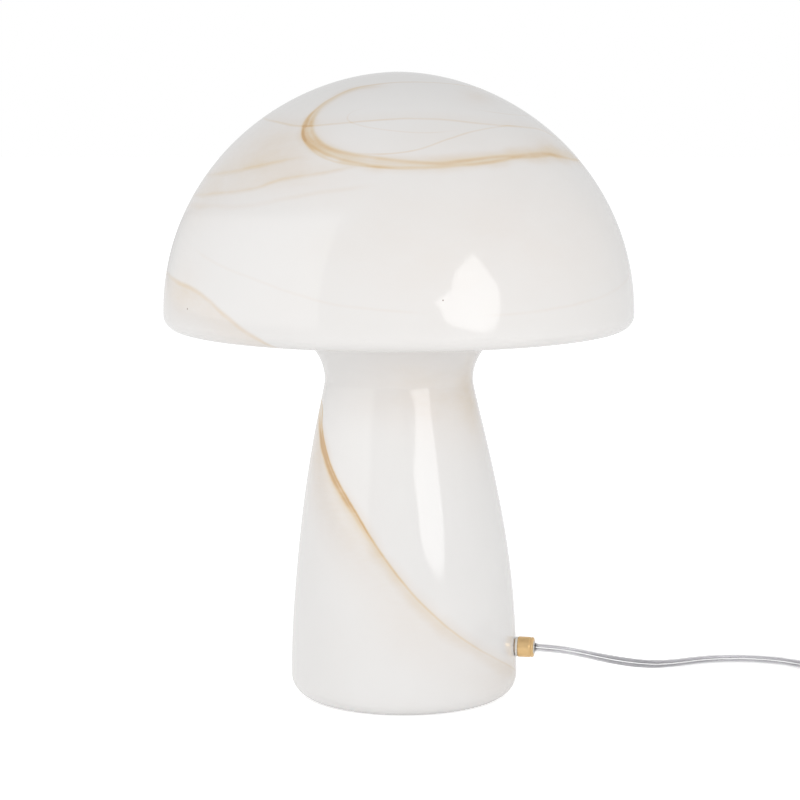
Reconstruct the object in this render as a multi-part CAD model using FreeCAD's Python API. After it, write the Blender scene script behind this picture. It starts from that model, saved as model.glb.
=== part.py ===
import FreeCAD, Part
import math
import os

# Mushroom table lamp: one blown glass body, a lampholder carrier that pulls out of its foot,
# a bulb, a brass cord gland, and a flat clear cord with an in-line switch and a plug.
# Millimetres, +Z up. The origin is the centre of the foot on the table. +X points to the
# side where the cord leaves, -Y to the person who looks at the lamp.

V = FreeCAD.Vector
UP = V(0, 0, 1)

# --- clearances -------------------------------------------------------------------------
part_gap = 0.3  # between pieces that move apart
fit_gap = 0.05  # round running fit, on the radius
slip_gap = 0.15  # loose hole round a piece that it holds, on the radius

# --- glass body -------------------------------------------------------------------------
wall = 4.0
dome_radius = 150.0
dome_rise = 152.6  # crown above the widest level
dome_side_power = 1.894  # the crown's section is a superellipse
dome_top_power = 2.032
dome_spans = 10
rim_level = 248.0  # height of the widest level
rim_round = 8.9
neck_radius = 47.5
neck_level = 205.0
flare_round = 32.0
stem_belly = 100.0  # how far the foot's upright side carries up the stem
stem_waist = 9.0  # the same at the neck
foot_radius = 73.3
foot_round = 12.3
mouth_radius = 54.0  # opening under the foot
ledge_width = 3.5  # ground step round the mouth, seen from below
ledge_height = 2.2

# --- cord gland -------------------------------------------------------------------------
gland_turn = -10.0  # degrees round the lamp from +X
gland_level = 32.0
tube_radius = 5.0  # M10 x 1 threaded tube
tube_bore = 3.6
tube_inside = 7.0  # bare end inside the glass nut
tube_in_collar = 5.0
seal_radius = 6.4
seal_thick = 1.7
inner_seal_radius = 7.0
inner_seal_thick = 1.5
curve_gap = 0.9  # room for a flat washer in the round, leaning wall
nut_flats = 14.0
nut_thick = 3.0
collar_radius = 6.6
collar_length = 10.2
collar_chamfer = 0.7
bush_radius = 4.2
bush_proud = 0.6

# --- flat twin cord ---------------------------------------------------------------------
cord_width = 5.4
cord_radius = cord_width / 2
layer_gap = 0.5  # between the coil's two layers
turn_gap = 1.7  # between neighbouring turns, room for the climb beside them
gland_straight = 50.0  # how near the lamp's axis the flex runs on straight from the gland
switch_lead = 12.0  # straight lead before the switch's far end and before the coil
coil_lead = 8.0  # straight lead out of the coil and into the plug's strain relief
coil_fall = 12.0  # length over which the cord comes down from the coil to the plug
gap_skip = 60.0  # stretch of cord that the coil's own gap test leaves out on each side

# --- carrier ----------------------------------------------------------------------------
plate_thick = 1.6
edging_wall = 2.0
edging_cover = 1.0  # how deep the plate's edge sits in the edging
edging_bottom = 0.5
edging_flange = 1.4
edging_top = 5.0
edging_slot_gap = 0.1  # plate to the edging's flange
strip_thick = 1.6
strip_width = 22.0
bracket_rise = 62.0
bracket_half_span = 24.0
bracket_flange = 14.0
bracket_bend = 2.4
rivet_radius = 2.0
rivet_head_radius = 3.6
rivet_head = 1.3
rivet_head_round = 0.78
rivet_foot = 1.0
nipple_below = 8.0
nipple_above = 1.0  # above the cap's floor
washer_thick = 0.8
washer_radius = 8.0
nipple_bush_flange = 1.6
nipple_bush_sleeve = 6.0

# --- lampholder -------------------------------------------------------------------------
holder_radius = 20.5
holder_neck_radius = 9.0
holder_neck_height = 6.0
holder_cap_height = 24.0
holder_cap_wall = 2.2
holder_cap_side = 9.0  # upright part of the cap
holder_shell_height = 33.0
holder_shell_edge = 1.5
insert_flange = 4.0
insert_block_radius = 11.0
insert_block_height = 6.0
insert_boss_radius = 9.0
insert_boss_height = 3.0
liner_wall = 0.5
liner_height = 27.0
contact_radius = 3.2
contact_height = 2.0
contact_round = 0.8
terminal_screw_radius = 1.5
terminal_head_radius = 2.2
terminal_head = 2.4
terminal_depth = 5.0
core_radius = 0.9
core_spread = 1.3
core_start = 3.0  # below the nipple's mouth
grub_radius = 1.5

# --- bulb -------------------------------------------------------------------------------
bulb_thread_radius = 13.05
bulb_thread_length = 21.0
bulb_tip_radius = 4.6
bulb_tip_height = 2.0
bulb_insulator_height = 5.0
bulb_insulator_top = 12.9
bulb_thread_wall = 0.5
bulb_neck_radius = 14.2
bulb_collar_radius = 27.0
collar_handle_low = 12.0  # reach of the flare's upright ends
collar_handle_high = 10.0
collar_handle_turn = 2.0
bulb_globe_radius = 30.0
bulb_globe_wall = 1.2
bulb_globe_seat = 22.0  # from the globe's centre down to the collar's top
bulb_board_radius = 18.0
bulb_board_thick = 1.6
bulb_length = 110.0

# --- in-line switch ---------------------------------------------------------------------
switch_x = 283.0
switch_y = 4.0  # end face that the lamp's cord meets
switch_length = 58.0
switch_width = 26.0
switch_height = 16.0
switch_corner = 8.0
switch_wall = 1.6
switch_split = 7.0
switch_edge = 1.5
rocker_length = 19.4
rocker_width = 11.4
rocker_proud = 1.6
rocker_below = 3.6
rocker_side_room = 0.4
rocker_end_room = 1.2
rocker_tilt = 8.0
rocker_hollow = 1.1
pivot_level = 11.4
pivot_radius = 1.0
boss_radius = 3.0
boss_back = 2.0  # boss to the housing's end wall
screw_radius = 1.4
screw_head_radius = 2.4
screw_head = 1.4
screw_length = 10.5
terminal_x = 7.0
terminal_y = 9.0
terminal_height = 3.4
terminal_place = 16.0

# --- coil of the put-away cord ----------------------------------------------------------
coil_inner = 22.1
coil_place = 44.0  # switch's far end to the coil's middle, along Y
coil_half_turns = 13  # all half turns, the climbing one included
tie_thick = 0.6
tie_room = 0.3
tie_width = 8.0
tie_turn = 45.0  # degrees from +X round the coil

# --- plug -------------------------------------------------------------------------------
plug_level = 7.0
relief_length = 22.0
relief_end_radius = 5.6
relief_tip_wall = 0.8
plug_length = 36.0
plug_width = 35.0
plug_neck_width = 20.0
plug_shoulder = 16.2  # length over which the body widens
plug_thick = 14.0
plug_edge = 2.5
pin_radius = 2.0
pin_length = 19.0
pin_depth = 10.0
pin_round = 0.8
pin_core_radius = 1.5  # under the insulated sleeve and in the body
sleeve_radius = pin_radius
sleeve_length = 10.0
pin_pitch = 19.0

# --- derived places ---------------------------------------------------------------------
plate_bottom = edging_bottom + edging_flange + edging_slot_gap
plate_top = plate_bottom + plate_thick
edging_radius = mouth_radius - part_gap
plate_radius = edging_radius - edging_wall + edging_cover
bracket_top = plate_top + bracket_rise
holder_base = bracket_top
cap_rim = holder_base + holder_cap_height
shell_top = cap_rim + holder_shell_height
liner_radius = bulb_thread_radius + liner_wall + part_gap
liner_outer = liner_radius + liner_wall
contact_top = cap_rim + insert_boss_height + contact_height
nipple_top = holder_base + holder_neck_height + holder_cap_wall + nipple_above
flex_end = nipple_top - core_start
bulb_bottom = contact_top + part_gap
gland_outer = foot_radius + fit_gap + seal_thick + collar_length
coil_pitch = cord_width + turn_gap
coil_low = tie_thick + tie_room + cord_radius
coil_high = coil_low + cord_width + layer_gap
spiral_half_turns = (coil_half_turns - 1) // 2
coil_outer = coil_inner + spiral_half_turns * coil_pitch / 2
coil_x = switch_x + coil_outer
coil_y = switch_y - switch_length - coil_place


# --- helpers ----------------------------------------------------------------------------
def ring(inner, outer, low, high):
    """Tube standing on +Z."""
    solid = Part.makeCylinder(outer, high - low, V(0, 0, low))
    return solid.cut(Part.makeCylinder(inner, high - low, V(0, 0, low))) if inner > 0 else solid


def spin(points):
    """Solid turned round +Z from a closed outline of (radius, height) points."""
    corners = [V(r, 0, z) for r, z in points]
    face = Part.Face(Part.makePolygon(corners + corners[:1]))
    return face.revolve(V(0, 0, 0), UP, 360)


def nut(flats, bore, low, high):
    """Hexagon nut standing on +Z."""
    reach = flats / 2 / math.cos(math.radians(30))
    turns = [math.radians(60 * k) for k in range(7)]
    outline = [V(reach * math.cos(a), reach * math.sin(a), low) for a in turns]
    solid = Part.Face(Part.makePolygon(outline)).extrude(UP * (high - low))
    return solid.cut(Part.makeCylinder(bore, high - low, V(0, 0, low)))


def lay_on_gland(shape):
    """Turns a piece built along +Z so that +Z becomes the gland's axis."""
    shape = shape.copy()
    shape.rotate(V(0, 0, 0), V(0, 1, 0), 90)
    shape.translate(V(0, 0, gland_level))
    shape.rotate(V(0, 0, 0), UP, gland_turn)
    return shape


def gland_point(distance):
    """Point on the gland's axis at a distance from the lamp's axis."""
    turn = math.radians(gland_turn)
    return V(distance * math.cos(turn), distance * math.sin(turn), gland_level)


def arc_middle(start, direction, end):
    """Middle point of the arc that leaves start along direction and reaches end."""
    chord = end - start
    along = V(direction).normalize()
    half = math.acos(max(-1.0, min(1.0, along.dot(chord) / chord.Length)))
    across = (along * chord.Length - chord * math.cos(half)) if half > 1e-9 else V(0, 0, 0)
    if across.Length > 1e-12:
        across.normalize()
    return (start + end) * 0.5 + across * (chord.Length / 2 * math.tan(half / 2))


def route_edges(points, name):
    """Straight runs joined by tangent arcs, each as large as its two runs allow."""
    edges = []
    radii = []
    last = points[0]
    for before, corner, after in zip(points, points[1:], points[2:]):
        coming = (corner - before).normalize()
        going = (after - corner).normalize()
        turn = coming.getAngle(going)
        reach = 0.45 * min((corner - before).Length, (after - corner).Length)
        start = corner - coming * reach
        end = corner + going * reach
        radii.append(reach / math.tan(turn / 2))
        edges.append(Part.LineSegment(last, start).toShape())
        edges.append(Part.Arc(start, arc_middle(start, coming, end), end).toShape())
        last = end
    edges.append(Part.LineSegment(last, points[-1]).toShape())
    print(name, "radii", [round(r, 1) for r in radii])
    return edges


def tube_along(edges, radius, name):
    """Round tube along a path, with its volume compared with section times length."""
    path = Part.Wire(edges)
    start = edges[0].valueAt(edges[0].FirstParameter)
    heading = edges[0].tangentAt(edges[0].FirstParameter)
    section = Part.Wire(Part.Circle(start, heading, radius).toShape())
    shell = Part.BRepOffsetAPI.MakePipeShell(path)
    shell.add(section)
    shell.build()
    shell.makeSolid()
    solid = shell.shape()
    share = solid.Volume / (math.pi * radius ** 2 * path.Length)
    print(name, "length", round(path.Length, 1), "volume share", round(share, 4))
    return solid


def cord_tube(points, name):
    """Free stretch of cord through the points of its route."""
    return tube_along(route_edges([V(*p) for p in points], name), cord_radius, name)


# --- glass body -------------------------------------------------------------------------
def rim_tangent(flare, rim):
    """Points where the underside leaves the flare and meets the rolled rim."""
    flare_x = neck_radius + flare_round
    rim_x = dome_radius - rim_round
    run = V(rim_x - flare_x, 0, rim_level - neck_level)
    tilt = math.atan2(run.z, run.x) - math.asin((flare + rim) / run.Length)
    across = V(-math.sin(tilt), 0, math.cos(tilt))
    start = V(flare_x, 0, neck_level) + across * flare
    end = V(rim_x, 0, rim_level) - across * rim
    return start, end


def crown_curve(inset):
    """Crown from the widest level to the top, a superellipse."""
    across = dome_radius - inset
    rise = dome_rise - inset
    steps = [math.pi / 2 * k / dome_spans for k in range(dome_spans + 1)]
    points = []
    for step in steps:
        side = max(0.0, math.cos(step)) ** (2 / dome_side_power)
        high = math.sin(step) ** (2 / dome_top_power)
        points.append(V(across * side, 0, rim_level + rise * high))
    points[-1] = V(0, 0, rim_level + rise)
    curve = Part.BSplineCurve()
    curve.interpolate(Points=points, InitialTangent=UP, FinalTangent=V(-1, 0, 0))
    return curve.toShape()


def glass_side(inset):
    """Edges from the foot's upright side to the crown's top, moved inwards by inset."""
    foot = V(foot_radius - inset, 0, foot_round)
    neck = V(neck_radius - inset, 0, neck_level)
    stem = Part.BezierCurve()
    stem.setPoles([foot, foot + UP * stem_belly, neck - UP * stem_waist, neck])
    start, end = rim_tangent(flare_round + inset, rim_round - inset)
    flare = Part.Arc(neck, arc_middle(neck, UP, start), start)
    widest = V(dome_radius - inset, 0, rim_level)
    rim = Part.Arc(end, arc_middle(end, end - start, widest), widest)
    under = Part.LineSegment(start, end)
    return [stem.toShape(), flare.toShape(), under.toShape(), rim.toShape(), crown_curve(inset)]


def glass_body():
    """Blown glass in one piece: dome, underside, neck, stem and turned-in foot."""
    curl_x = foot_radius - foot_round
    top_out = V(0, 0, rim_level + dome_rise)
    top_in = top_out - UP * wall
    outer_foot = V(foot_radius, 0, foot_round)
    inner_foot = V(foot_radius - wall, 0, foot_round)
    low = V(curl_x, 0, 0)
    high = V(curl_x, 0, wall)
    ledge_x = mouth_radius + ledge_width
    lip = [low, V(ledge_x, 0, 0), V(ledge_x, 0, ledge_height), V(mouth_radius, 0, ledge_height),
           V(mouth_radius, 0, wall), high]
    edges = glass_side(0) + [Part.LineSegment(top_out, top_in).toShape()] + glass_side(wall)
    edges.append(Part.Arc(inner_foot, arc_middle(inner_foot, -UP, high), high).toShape())
    edges += [Part.LineSegment(a, b).toShape() for a, b in zip(lip, lip[1:])]
    edges.append(Part.Arc(low, arc_middle(low, V(1, 0, 0), outer_foot), outer_foot).toShape())
    outline = Part.Wire(Part.__sortEdges__(edges))
    body = Part.Face(outline).revolve(V(0, 0, 0), UP, 360)
    hole = Part.makeCylinder(tube_radius + slip_gap, 2 * foot_round, V(0, 0, foot_radius - foot_round))
    return body.cut(lay_on_gland(hole))


# --- cord gland -------------------------------------------------------------------------
seal_start = foot_radius + fit_gap
collar_start = seal_start + seal_thick
inner_seal_end = foot_radius - wall - curve_gap
nut_end = inner_seal_end - inner_seal_thick


def gland_tube():
    return lay_on_gland(ring(tube_bore, tube_radius, nut_end - tube_inside, collar_start + tube_in_collar))


def gland_seal():
    return lay_on_gland(ring(tube_radius + slip_gap, seal_radius, seal_start, collar_start))


def gland_inner_seal():
    return lay_on_gland(ring(tube_radius + slip_gap, inner_seal_radius, nut_end, inner_seal_end))


def gland_nut():
    return lay_on_gland(nut(nut_flats, tube_radius + fit_gap, nut_end - nut_thick, nut_end))


def gland_collar():
    """Turned brass cap that screws on the tube and closes round the bush."""
    body = ring(bush_radius + fit_gap, collar_radius, collar_start, gland_outer)
    thread = Part.makeCylinder(tube_radius + fit_gap, tube_in_collar, V(0, 0, collar_start))
    edges = [e for e in body.Edges if abs(e.BoundBox.ZMin - e.BoundBox.ZMax) < 1e-6
             and e.BoundBox.XLength > 2 * collar_radius - 0.1]
    return lay_on_gland(body.makeChamfer(collar_chamfer, edges).cut(thread))


def gland_bush():
    """Soft bush that grips the cord at the collar's mouth."""
    start = collar_start + tube_in_collar
    return lay_on_gland(ring(cord_radius + part_gap, bush_radius, start, gland_outer + bush_proud))


# --- carrier ----------------------------------------------------------------------------
def base_plate():
    """Pressed steel disc that closes the foot, with holes for the two rivets."""
    disc = ring(0, plate_radius, plate_bottom, plate_top)
    for side in (-1, 1):
        disc = disc.cut(Part.makeCylinder(rivet_radius, plate_thick, V(0, side * rivet_place, plate_bottom)))
    return disc


def plate_edging():
    """Rubber edging: grips the mouth, and its flange stops under the glass ledge."""
    inner = edging_radius - edging_wall
    flange = mouth_radius + ledge_width - part_gap
    low, step = edging_bottom, edging_bottom + edging_flange
    return spin([(inner, low), (flange, low), (flange, step), (edging_radius, step),
                 (edging_radius, edging_top), (inner, edging_top), (inner, plate_top),
                 (plate_radius, plate_top), (plate_radius, plate_bottom), (inner, plate_bottom)])


rivet_place = bracket_half_span + bracket_flange / 2


def holder_bracket():
    """Steel strip bent into a portal, riveted to the plate, that lifts the lampholder."""
    span, foot = bracket_half_span, bracket_half_span + bracket_flange
    low, top = plate_top, bracket_top
    thick = strip_thick
    outline = [(-foot, low), (-span + thick, low), (-span + thick, top - thick), (span - thick, top - thick),
               (span - thick, low), (foot, low), (foot, low + thick), (span, low + thick),
               (span, top), (-span, top), (-span, low + thick), (-foot, low + thick)]
    corners = [V(-strip_width / 2, y, z) for y, z in outline]
    strip = Part.Face(Part.makePolygon(corners + corners[:1])).extrude(V(strip_width, 0, 0))
    bends = [e for e in strip.Edges if abs(e.BoundBox.XLength - strip_width) < 1e-6
             and abs(e.BoundBox.ZMin - top) < 1e-6]
    strip = strip.makeFillet(bracket_bend, bends)
    strip = strip.cut(Part.makeCylinder(tube_radius + fit_gap, thick, V(0, 0, top - thick)))
    for side in (-1, 1):
        strip = strip.cut(Part.makeCylinder(rivet_radius, thick, V(0, side * rivet_place, low)))
    return strip


def bracket_rivets():
    rivets = []
    for side in (-1, 1):
        place = V(0, side * rivet_place, 0)
        top = plate_top + strip_thick
        shank = Part.makeCylinder(rivet_radius, top - plate_bottom, place + UP * plate_bottom)
        head = Part.makeCylinder(rivet_head_radius, rivet_head, place + UP * top)
        head = head.makeFillet(rivet_head_round, [head.Edges[0]])
        foot = Part.makeCylinder(rivet_head_radius, rivet_foot, place + UP * (plate_bottom - rivet_foot))
        rivets.append(shank.fuse([head, foot]).removeSplitter())
    return Part.makeCompound(rivets)


def holder_nipple():
    return ring(tube_bore, tube_radius, bracket_top - strip_thick - nipple_below, nipple_top)


def nipple_washer():
    high = bracket_top - strip_thick
    return ring(tube_radius + slip_gap, washer_radius, high - washer_thick, high)


def nipple_nut():
    high = bracket_top - strip_thick - washer_thick
    return nut(nut_flats, tube_radius + fit_gap, high - nut_thick, high)


def nipple_bush():
    """Plastic bush that keeps the tube's edge off the flex."""
    seat = bracket_top - strip_thick - nipple_below
    sleeve = ring(cord_radius + slip_gap, tube_bore - fit_gap, seat, seat + nipple_bush_sleeve)
    flange = ring(cord_radius + slip_gap, tube_radius, seat - nipple_bush_flange, seat)
    return sleeve.fuse(flange).removeSplitter()


# --- lampholder -------------------------------------------------------------------------
def holder_cap():
    """Moulded cap: neck on the nipple, then a bell that carries the insert."""
    base, rim = holder_base, cap_rim
    neck = base + holder_neck_height
    side = rim - holder_cap_side
    bore = tube_radius + fit_gap
    inner = holder_radius - holder_cap_wall
    floor = neck + holder_cap_wall
    cap = spin([(bore, base), (holder_neck_radius, base), (holder_neck_radius, neck), (holder_radius, side),
                (holder_radius, rim), (inner, rim), (inner, side + holder_cap_wall / 2),
                (holder_neck_radius + holder_cap_wall, floor), (bore, floor)])
    hole = Part.makeCylinder(grub_radius, holder_neck_radius, V(0, 0, base + holder_neck_height / 2),
                             V(1, 0, 0))
    return cap.cut(hole)


def holder_grub_screw():
    level = holder_base + holder_neck_height / 2
    length = holder_neck_radius - tube_radius - 2 * fit_gap
    return Part.makeCylinder(grub_radius, length, V(tube_radius + fit_gap, 0, level), V(1, 0, 0))


def terminal_holes(radius, start, length):
    """Two cylinders across the insert's block, one each side."""
    level = cap_rim - insert_flange - insert_block_height / 2
    return [Part.makeCylinder(radius, length, V(0, side * start, level), V(0, side, 0)) for side in (-1, 1)]


def holder_insert():
    """Insulating insert: flange in the cap's rim, block below, boss above."""
    inner = holder_radius - holder_cap_wall
    low = cap_rim - insert_flange
    body = ring(0, inner - fit_gap, low, cap_rim)
    block = ring(0, insert_block_radius, low - insert_block_height, low)
    boss = ring(0, insert_boss_radius, cap_rim, cap_rim + insert_boss_height)
    body = body.fuse([block, boss]).removeSplitter()
    holes = terminal_holes(terminal_screw_radius, insert_block_radius - terminal_depth, terminal_depth)
    return body.cut(holes[0]).cut(holes[1])


def terminal_screws():
    shanks = terminal_holes(terminal_screw_radius, insert_block_radius - terminal_depth, terminal_depth)
    heads = terminal_holes(terminal_head_radius, insert_block_radius, terminal_head)
    return Part.makeCompound([s.fuse(h).removeSplitter() for s, h in zip(shanks, heads)])


def centre_contact():
    low = cap_rim + insert_boss_height
    button = ring(0, contact_radius, low, contact_top)
    top = [e for e in button.Edges if abs(e.BoundBox.ZMin - contact_top) < 1e-6]
    return button.makeFillet(contact_round, top)


def thread_liner():
    return ring(liner_radius, liner_outer, cap_rim, cap_rim + liner_height)


def holder_shell():
    """Outer ring of the lampholder, round the threaded liner."""
    inner = liner_outer + fit_gap
    shell = ring(inner, holder_radius, cap_rim, shell_top)
    edge = [e for e in shell.Edges if abs(e.BoundBox.ZMin - shell_top) < 1e-6
            and e.BoundBox.XLength > 2 * holder_radius - 0.1]
    return shell.makeFillet(holder_shell_edge, edge)


def core_ends():
    """The flex's two cores, from its end to the two terminal screws."""
    cores = []
    level = cap_rim - insert_flange - insert_block_height / 2 - terminal_head_radius
    reach = insert_block_radius + terminal_head / 2
    middle = cap_rim - insert_flange - insert_block_height - 3 * core_radius
    for side in (-1, 1):
        points = [V(0, side * core_spread, flex_end), V(0, side * core_spread, middle),
                  V(0, side * reach, middle), V(0, side * reach, level)]
        cores.append(tube_along(route_edges(points, "core"), core_radius, "core"))
    return Part.makeCompound(cores)


# --- bulb -------------------------------------------------------------------------------
insulator_low = bulb_bottom + bulb_tip_height
thread_low = insulator_low + bulb_insulator_height
collar_low = max(thread_low + bulb_thread_length, shell_top + part_gap)
globe_centre = bulb_bottom + bulb_length - bulb_globe_radius
collar_top = globe_centre - bulb_globe_seat


def bulb_tip():
    return ring(0, bulb_tip_radius, bulb_bottom, insulator_low)


def bulb_insulator():
    return Part.makeCone(bulb_tip_radius, bulb_insulator_top, bulb_insulator_height, V(0, 0, insulator_low))


def bulb_screw_cap():
    return ring(bulb_thread_radius - bulb_thread_wall, bulb_thread_radius, thread_low, collar_low)


def bulb_collar():
    """Plastic collar that flares from the screw cap to the globe."""
    low = V(bulb_neck_radius, 0, collar_low)
    high = V(bulb_collar_radius, 0, collar_top)
    profile = Part.BezierCurve()
    profile.setPoles([low, low + V(collar_handle_turn, 0, collar_handle_low),
                      high - V(collar_handle_turn, 0, collar_handle_high), high])
    ends = [high, V(0, 0, collar_top), V(0, 0, collar_low), low]
    edges = [profile.toShape()] + [Part.LineSegment(a, b).toShape() for a, b in zip(ends, ends[1:])]
    return Part.Face(Part.Wire(edges)).revolve(V(0, 0, 0), UP, 360)


def bulb_board():
    """Round board with the light chips, on the collar under the globe."""
    return ring(0, bulb_board_radius, collar_top, collar_top + bulb_board_thick)


def bulb_globe():
    """Hollow opal globe, cut flat where it sits on the collar."""
    centre = V(0, 0, globe_centre)
    globe = Part.makeSphere(bulb_globe_radius, centre)
    globe = globe.cut(Part.makeSphere(bulb_globe_radius - bulb_globe_wall, centre))
    below = Part.makeCylinder(2 * bulb_globe_radius, bulb_length, V(0, 0, collar_top - bulb_length))
    return globe.cut(below)


# --- flex inside the foot ---------------------------------------------------------------
def inner_flex():
    """Flex from the gland, once round the bracket and up through the nipple."""
    start = gland_point(gland_outer)
    inside = gland_point(gland_straight)
    loop = [(32, 37, 25), (-9, 49, 19), (-46, 21, 15.5), (-44, -26, 15.5), (-5, -50, 18), (34, -36, 22),
            (33, -4, 26), (0, 0, 36)]
    points = [start, inside] + [V(*p) for p in loop] + [V(0, 0, flex_end)]
    return tube_along(route_edges(points, "inner_flex"), cord_radius, "inner_flex")


# --- free cord --------------------------------------------------------------------------
def lamp_run_points():
    """Route from the gland down to the table and along it to the switch."""
    exit_point = gland_point(gland_outer + bush_proud)
    return [tuple(exit_point), (98.7, -17.0, 31.6), (115, -14.5, 28.0), (134, -1, 20.5), (156, 27, 10.5),
            (177, 53, 3.4), (212, 74, 2.7), (250, 71, 2.7), (275, 49, 3.4), (switch_x, 20, switch_split),
            (switch_x, switch_y, switch_split)]


def plug_run_points():
    """Short route from the switch to the coil."""
    end = coil_y + cord_width
    y = switch_y - switch_length
    return [(switch_x, y, switch_split), (switch_x, y - switch_lead, switch_split),
            (switch_x, end + switch_lead, coil_low), (switch_x, end, coil_low)]


def end_run_points():
    """Short route from the coil down to the plug's strain relief."""
    x = coil_x + coil_outer
    y = coil_y + cord_width
    fallen = y + coil_lead + coil_fall
    return [(x, y, coil_high), (x, y + coil_lead, coil_high), (x, fallen, plug_level),
            (x, fallen + coil_lead, plug_level)]


def half_turn(start, heading, end):
    """Two quarter arcs that leave start along heading and reach end the other way."""
    reach = (end - start).Length / 2
    middle = (start + end) * 0.5 + heading * reach
    across = (end - start).normalize()
    first = Part.Arc(start, arc_middle(start, heading, middle), middle)
    second = Part.Arc(middle, arc_middle(middle, across, end), end)
    return [first.toShape(), second.toShape()]


def coil_edges():
    """Spiral in on the lower layer, climb half a turn, and spiral out on the upper layer."""
    steps = list(range(spiral_half_turns, -1, -1)) + list(range(0, spiral_half_turns + 1))
    level = [coil_low] * (spiral_half_turns + 1) + [coil_high] * (spiral_half_turns + 1)
    points = []
    for count, (step, z) in enumerate(zip(steps, level)):
        side = -1 if count % 2 == 0 else 1
        points.append(V(coil_x + side * (coil_inner + step * coil_pitch / 2), coil_y, z))
    edges = [Part.LineSegment(points[0] + V(0, cord_width, 0), points[0]).toShape()]
    heading = V(0, -1, 0)
    for start, end in zip(points, points[1:]):
        edges += half_turn(start, heading, end)
        heading = heading * -1
    edges.append(Part.LineSegment(points[-1], points[-1] + heading * cord_width).toShape())
    return edges


def coil_gap(edges):
    """Least gap of the coil to itself, measured between points 2 mm apart along it."""
    points = []
    along = 0.0
    for edge in edges:
        count = max(2, int(edge.Length / 2))
        points += [(along + edge.Length * k / count, edge.valueAt(
            edge.FirstParameter + (edge.LastParameter - edge.FirstParameter) * k / count))
            for k in range(count)]
        along += edge.Length
    return min((a[1] - b[1]).Length for i, a in enumerate(points) for b in points[i + 1:]
               if b[0] - a[0] > gap_skip) - cord_width


def cord_coil():
    edges = coil_edges()
    print("cord_coil least gap", round(coil_gap(edges), 2))
    return tube_along(edges, cord_radius, "cord_coil")


def cord_tie():
    """Flat strap once round the bundle of turns."""
    near = coil_inner - cord_radius - tie_room
    far = coil_outer + cord_radius + tie_room
    low, high = coil_low - cord_radius - tie_room, coil_high + cord_radius + tie_room
    outer = Part.makeBox(far - near + 2 * tie_thick, tie_width, high - low + 2 * tie_thick,
                         V(near - tie_thick, -tie_width / 2, low - tie_thick))
    inner = Part.makeBox(far - near, tie_width, high - low, V(near, -tie_width / 2, low))
    tie = outer.cut(inner)
    tie.rotate(V(0, 0, 0), UP, tie_turn)
    tie.translate(V(coil_x, coil_y, 0))
    return tie


# --- in-line switch ---------------------------------------------------------------------
switch_middle = V(switch_x, switch_y - switch_length / 2, 0)
boss_x = switch_width / 2 - switch_wall - boss_radius
boss_y = switch_length / 2 - switch_wall - boss_radius - boss_back
boss_places = [V(boss_x, boss_y, 0), V(-boss_x, -boss_y, 0)]


def slab(length, width, corner, low, high):
    """Block with rounded upright corners, centred on the switch's own axis."""
    box = Part.makeBox(width, length, high - low, V(-width / 2, -length / 2, low))
    upright = [e for e in box.Edges if abs(e.BoundBox.ZLength - (high - low)) < 1e-6]
    return box.makeFillet(corner, upright)


def switch_block(low, high):
    """Outside of the housing between two levels."""
    return slab(switch_length, switch_width, switch_corner, low, high)


def switch_room(low, high):
    """Inside of the housing between two levels."""
    length, width = switch_length - 2 * switch_wall, switch_width - 2 * switch_wall
    return slab(length, width, switch_corner - switch_wall, low, high)


def place_switch(shape):
    shape.translate(switch_middle)
    return shape


def switch_lower_shell():
    """Lower half of the housing, open at the split, with two screw bosses."""
    outer = switch_block(0, switch_split)
    bottom = [e for e in outer.Edges if abs(e.BoundBox.ZMin) < 1e-6 and abs(e.BoundBox.ZMax) < 1e-6]
    outer = outer.makeFillet(switch_edge, bottom)
    shell = outer.cut(switch_room(switch_wall, switch_split))
    for place in boss_places:
        boss = Part.makeCylinder(boss_radius, switch_split - switch_wall / 2, place + UP * switch_wall / 2)
        shell = shell.fuse(boss)
        shell = shell.cut(Part.makeCylinder(screw_radius, switch_split, place))
        shell = shell.cut(Part.makeCylinder(screw_head_radius, screw_head, place))
    return place_switch(shell.removeSplitter())


def switch_upper_shell():
    """Upper half of the housing, with the rocker's window."""
    outer = switch_block(switch_split, switch_height)
    top = [e for e in outer.Edges if abs(e.BoundBox.ZMin - switch_height) < 1e-6]
    outer = outer.makeFillet(switch_edge, top)
    ceiling = switch_height - switch_wall
    window = Part.makeBox(rocker_width + 2 * rocker_side_room, rocker_length + 2 * rocker_end_room,
                          switch_height, V(-rocker_width / 2 - rocker_side_room,
                                           -rocker_length / 2 - rocker_end_room, switch_split))
    shell = outer.cut(switch_room(switch_split, ceiling)).cut(window)
    for place in boss_places:
        boss = Part.makeCylinder(boss_radius, ceiling - switch_split, place + UP * switch_split)
        shell = shell.fuse(boss)
        hole = Part.makeCylinder(screw_radius, screw_length - switch_split, place + UP * switch_split)
        shell = shell.cut(hole)
    return place_switch(shell.removeSplitter())


def switch_rocker():
    """Rocker with a dished top, tilted as it rests on one side."""
    low, high = pivot_level - rocker_below, switch_height + rocker_proud
    half = rocker_length / 2
    dish = high - rocker_hollow
    outline = [V(0, -half, pivot_level), V(0, -half, high)]
    top = Part.Arc(V(0, -half, high), V(0, 0, dish), V(0, half, high)).toShape()
    ends = [V(0, half, high), V(0, half, pivot_level), V(0, half / 3, low), V(0, -half / 3, low),
            V(0, -half, pivot_level)]
    edges = [Part.LineSegment(*outline).toShape(), top]
    edges += [Part.LineSegment(a, b).toShape() for a, b in zip(ends, ends[1:])]
    body = Part.Face(Part.Wire(edges)).extrude(V(rocker_width, 0, 0))
    body.translate(V(-rocker_width / 2, 0, 0))
    bore = Part.makeCylinder(pivot_radius + fit_gap, rocker_width, V(-rocker_width / 2, 0, pivot_level),
                             V(1, 0, 0))
    body = body.cut(bore)
    body.rotate(V(0, 0, pivot_level), V(1, 0, 0), -rocker_tilt)
    return place_switch(body)


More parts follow.
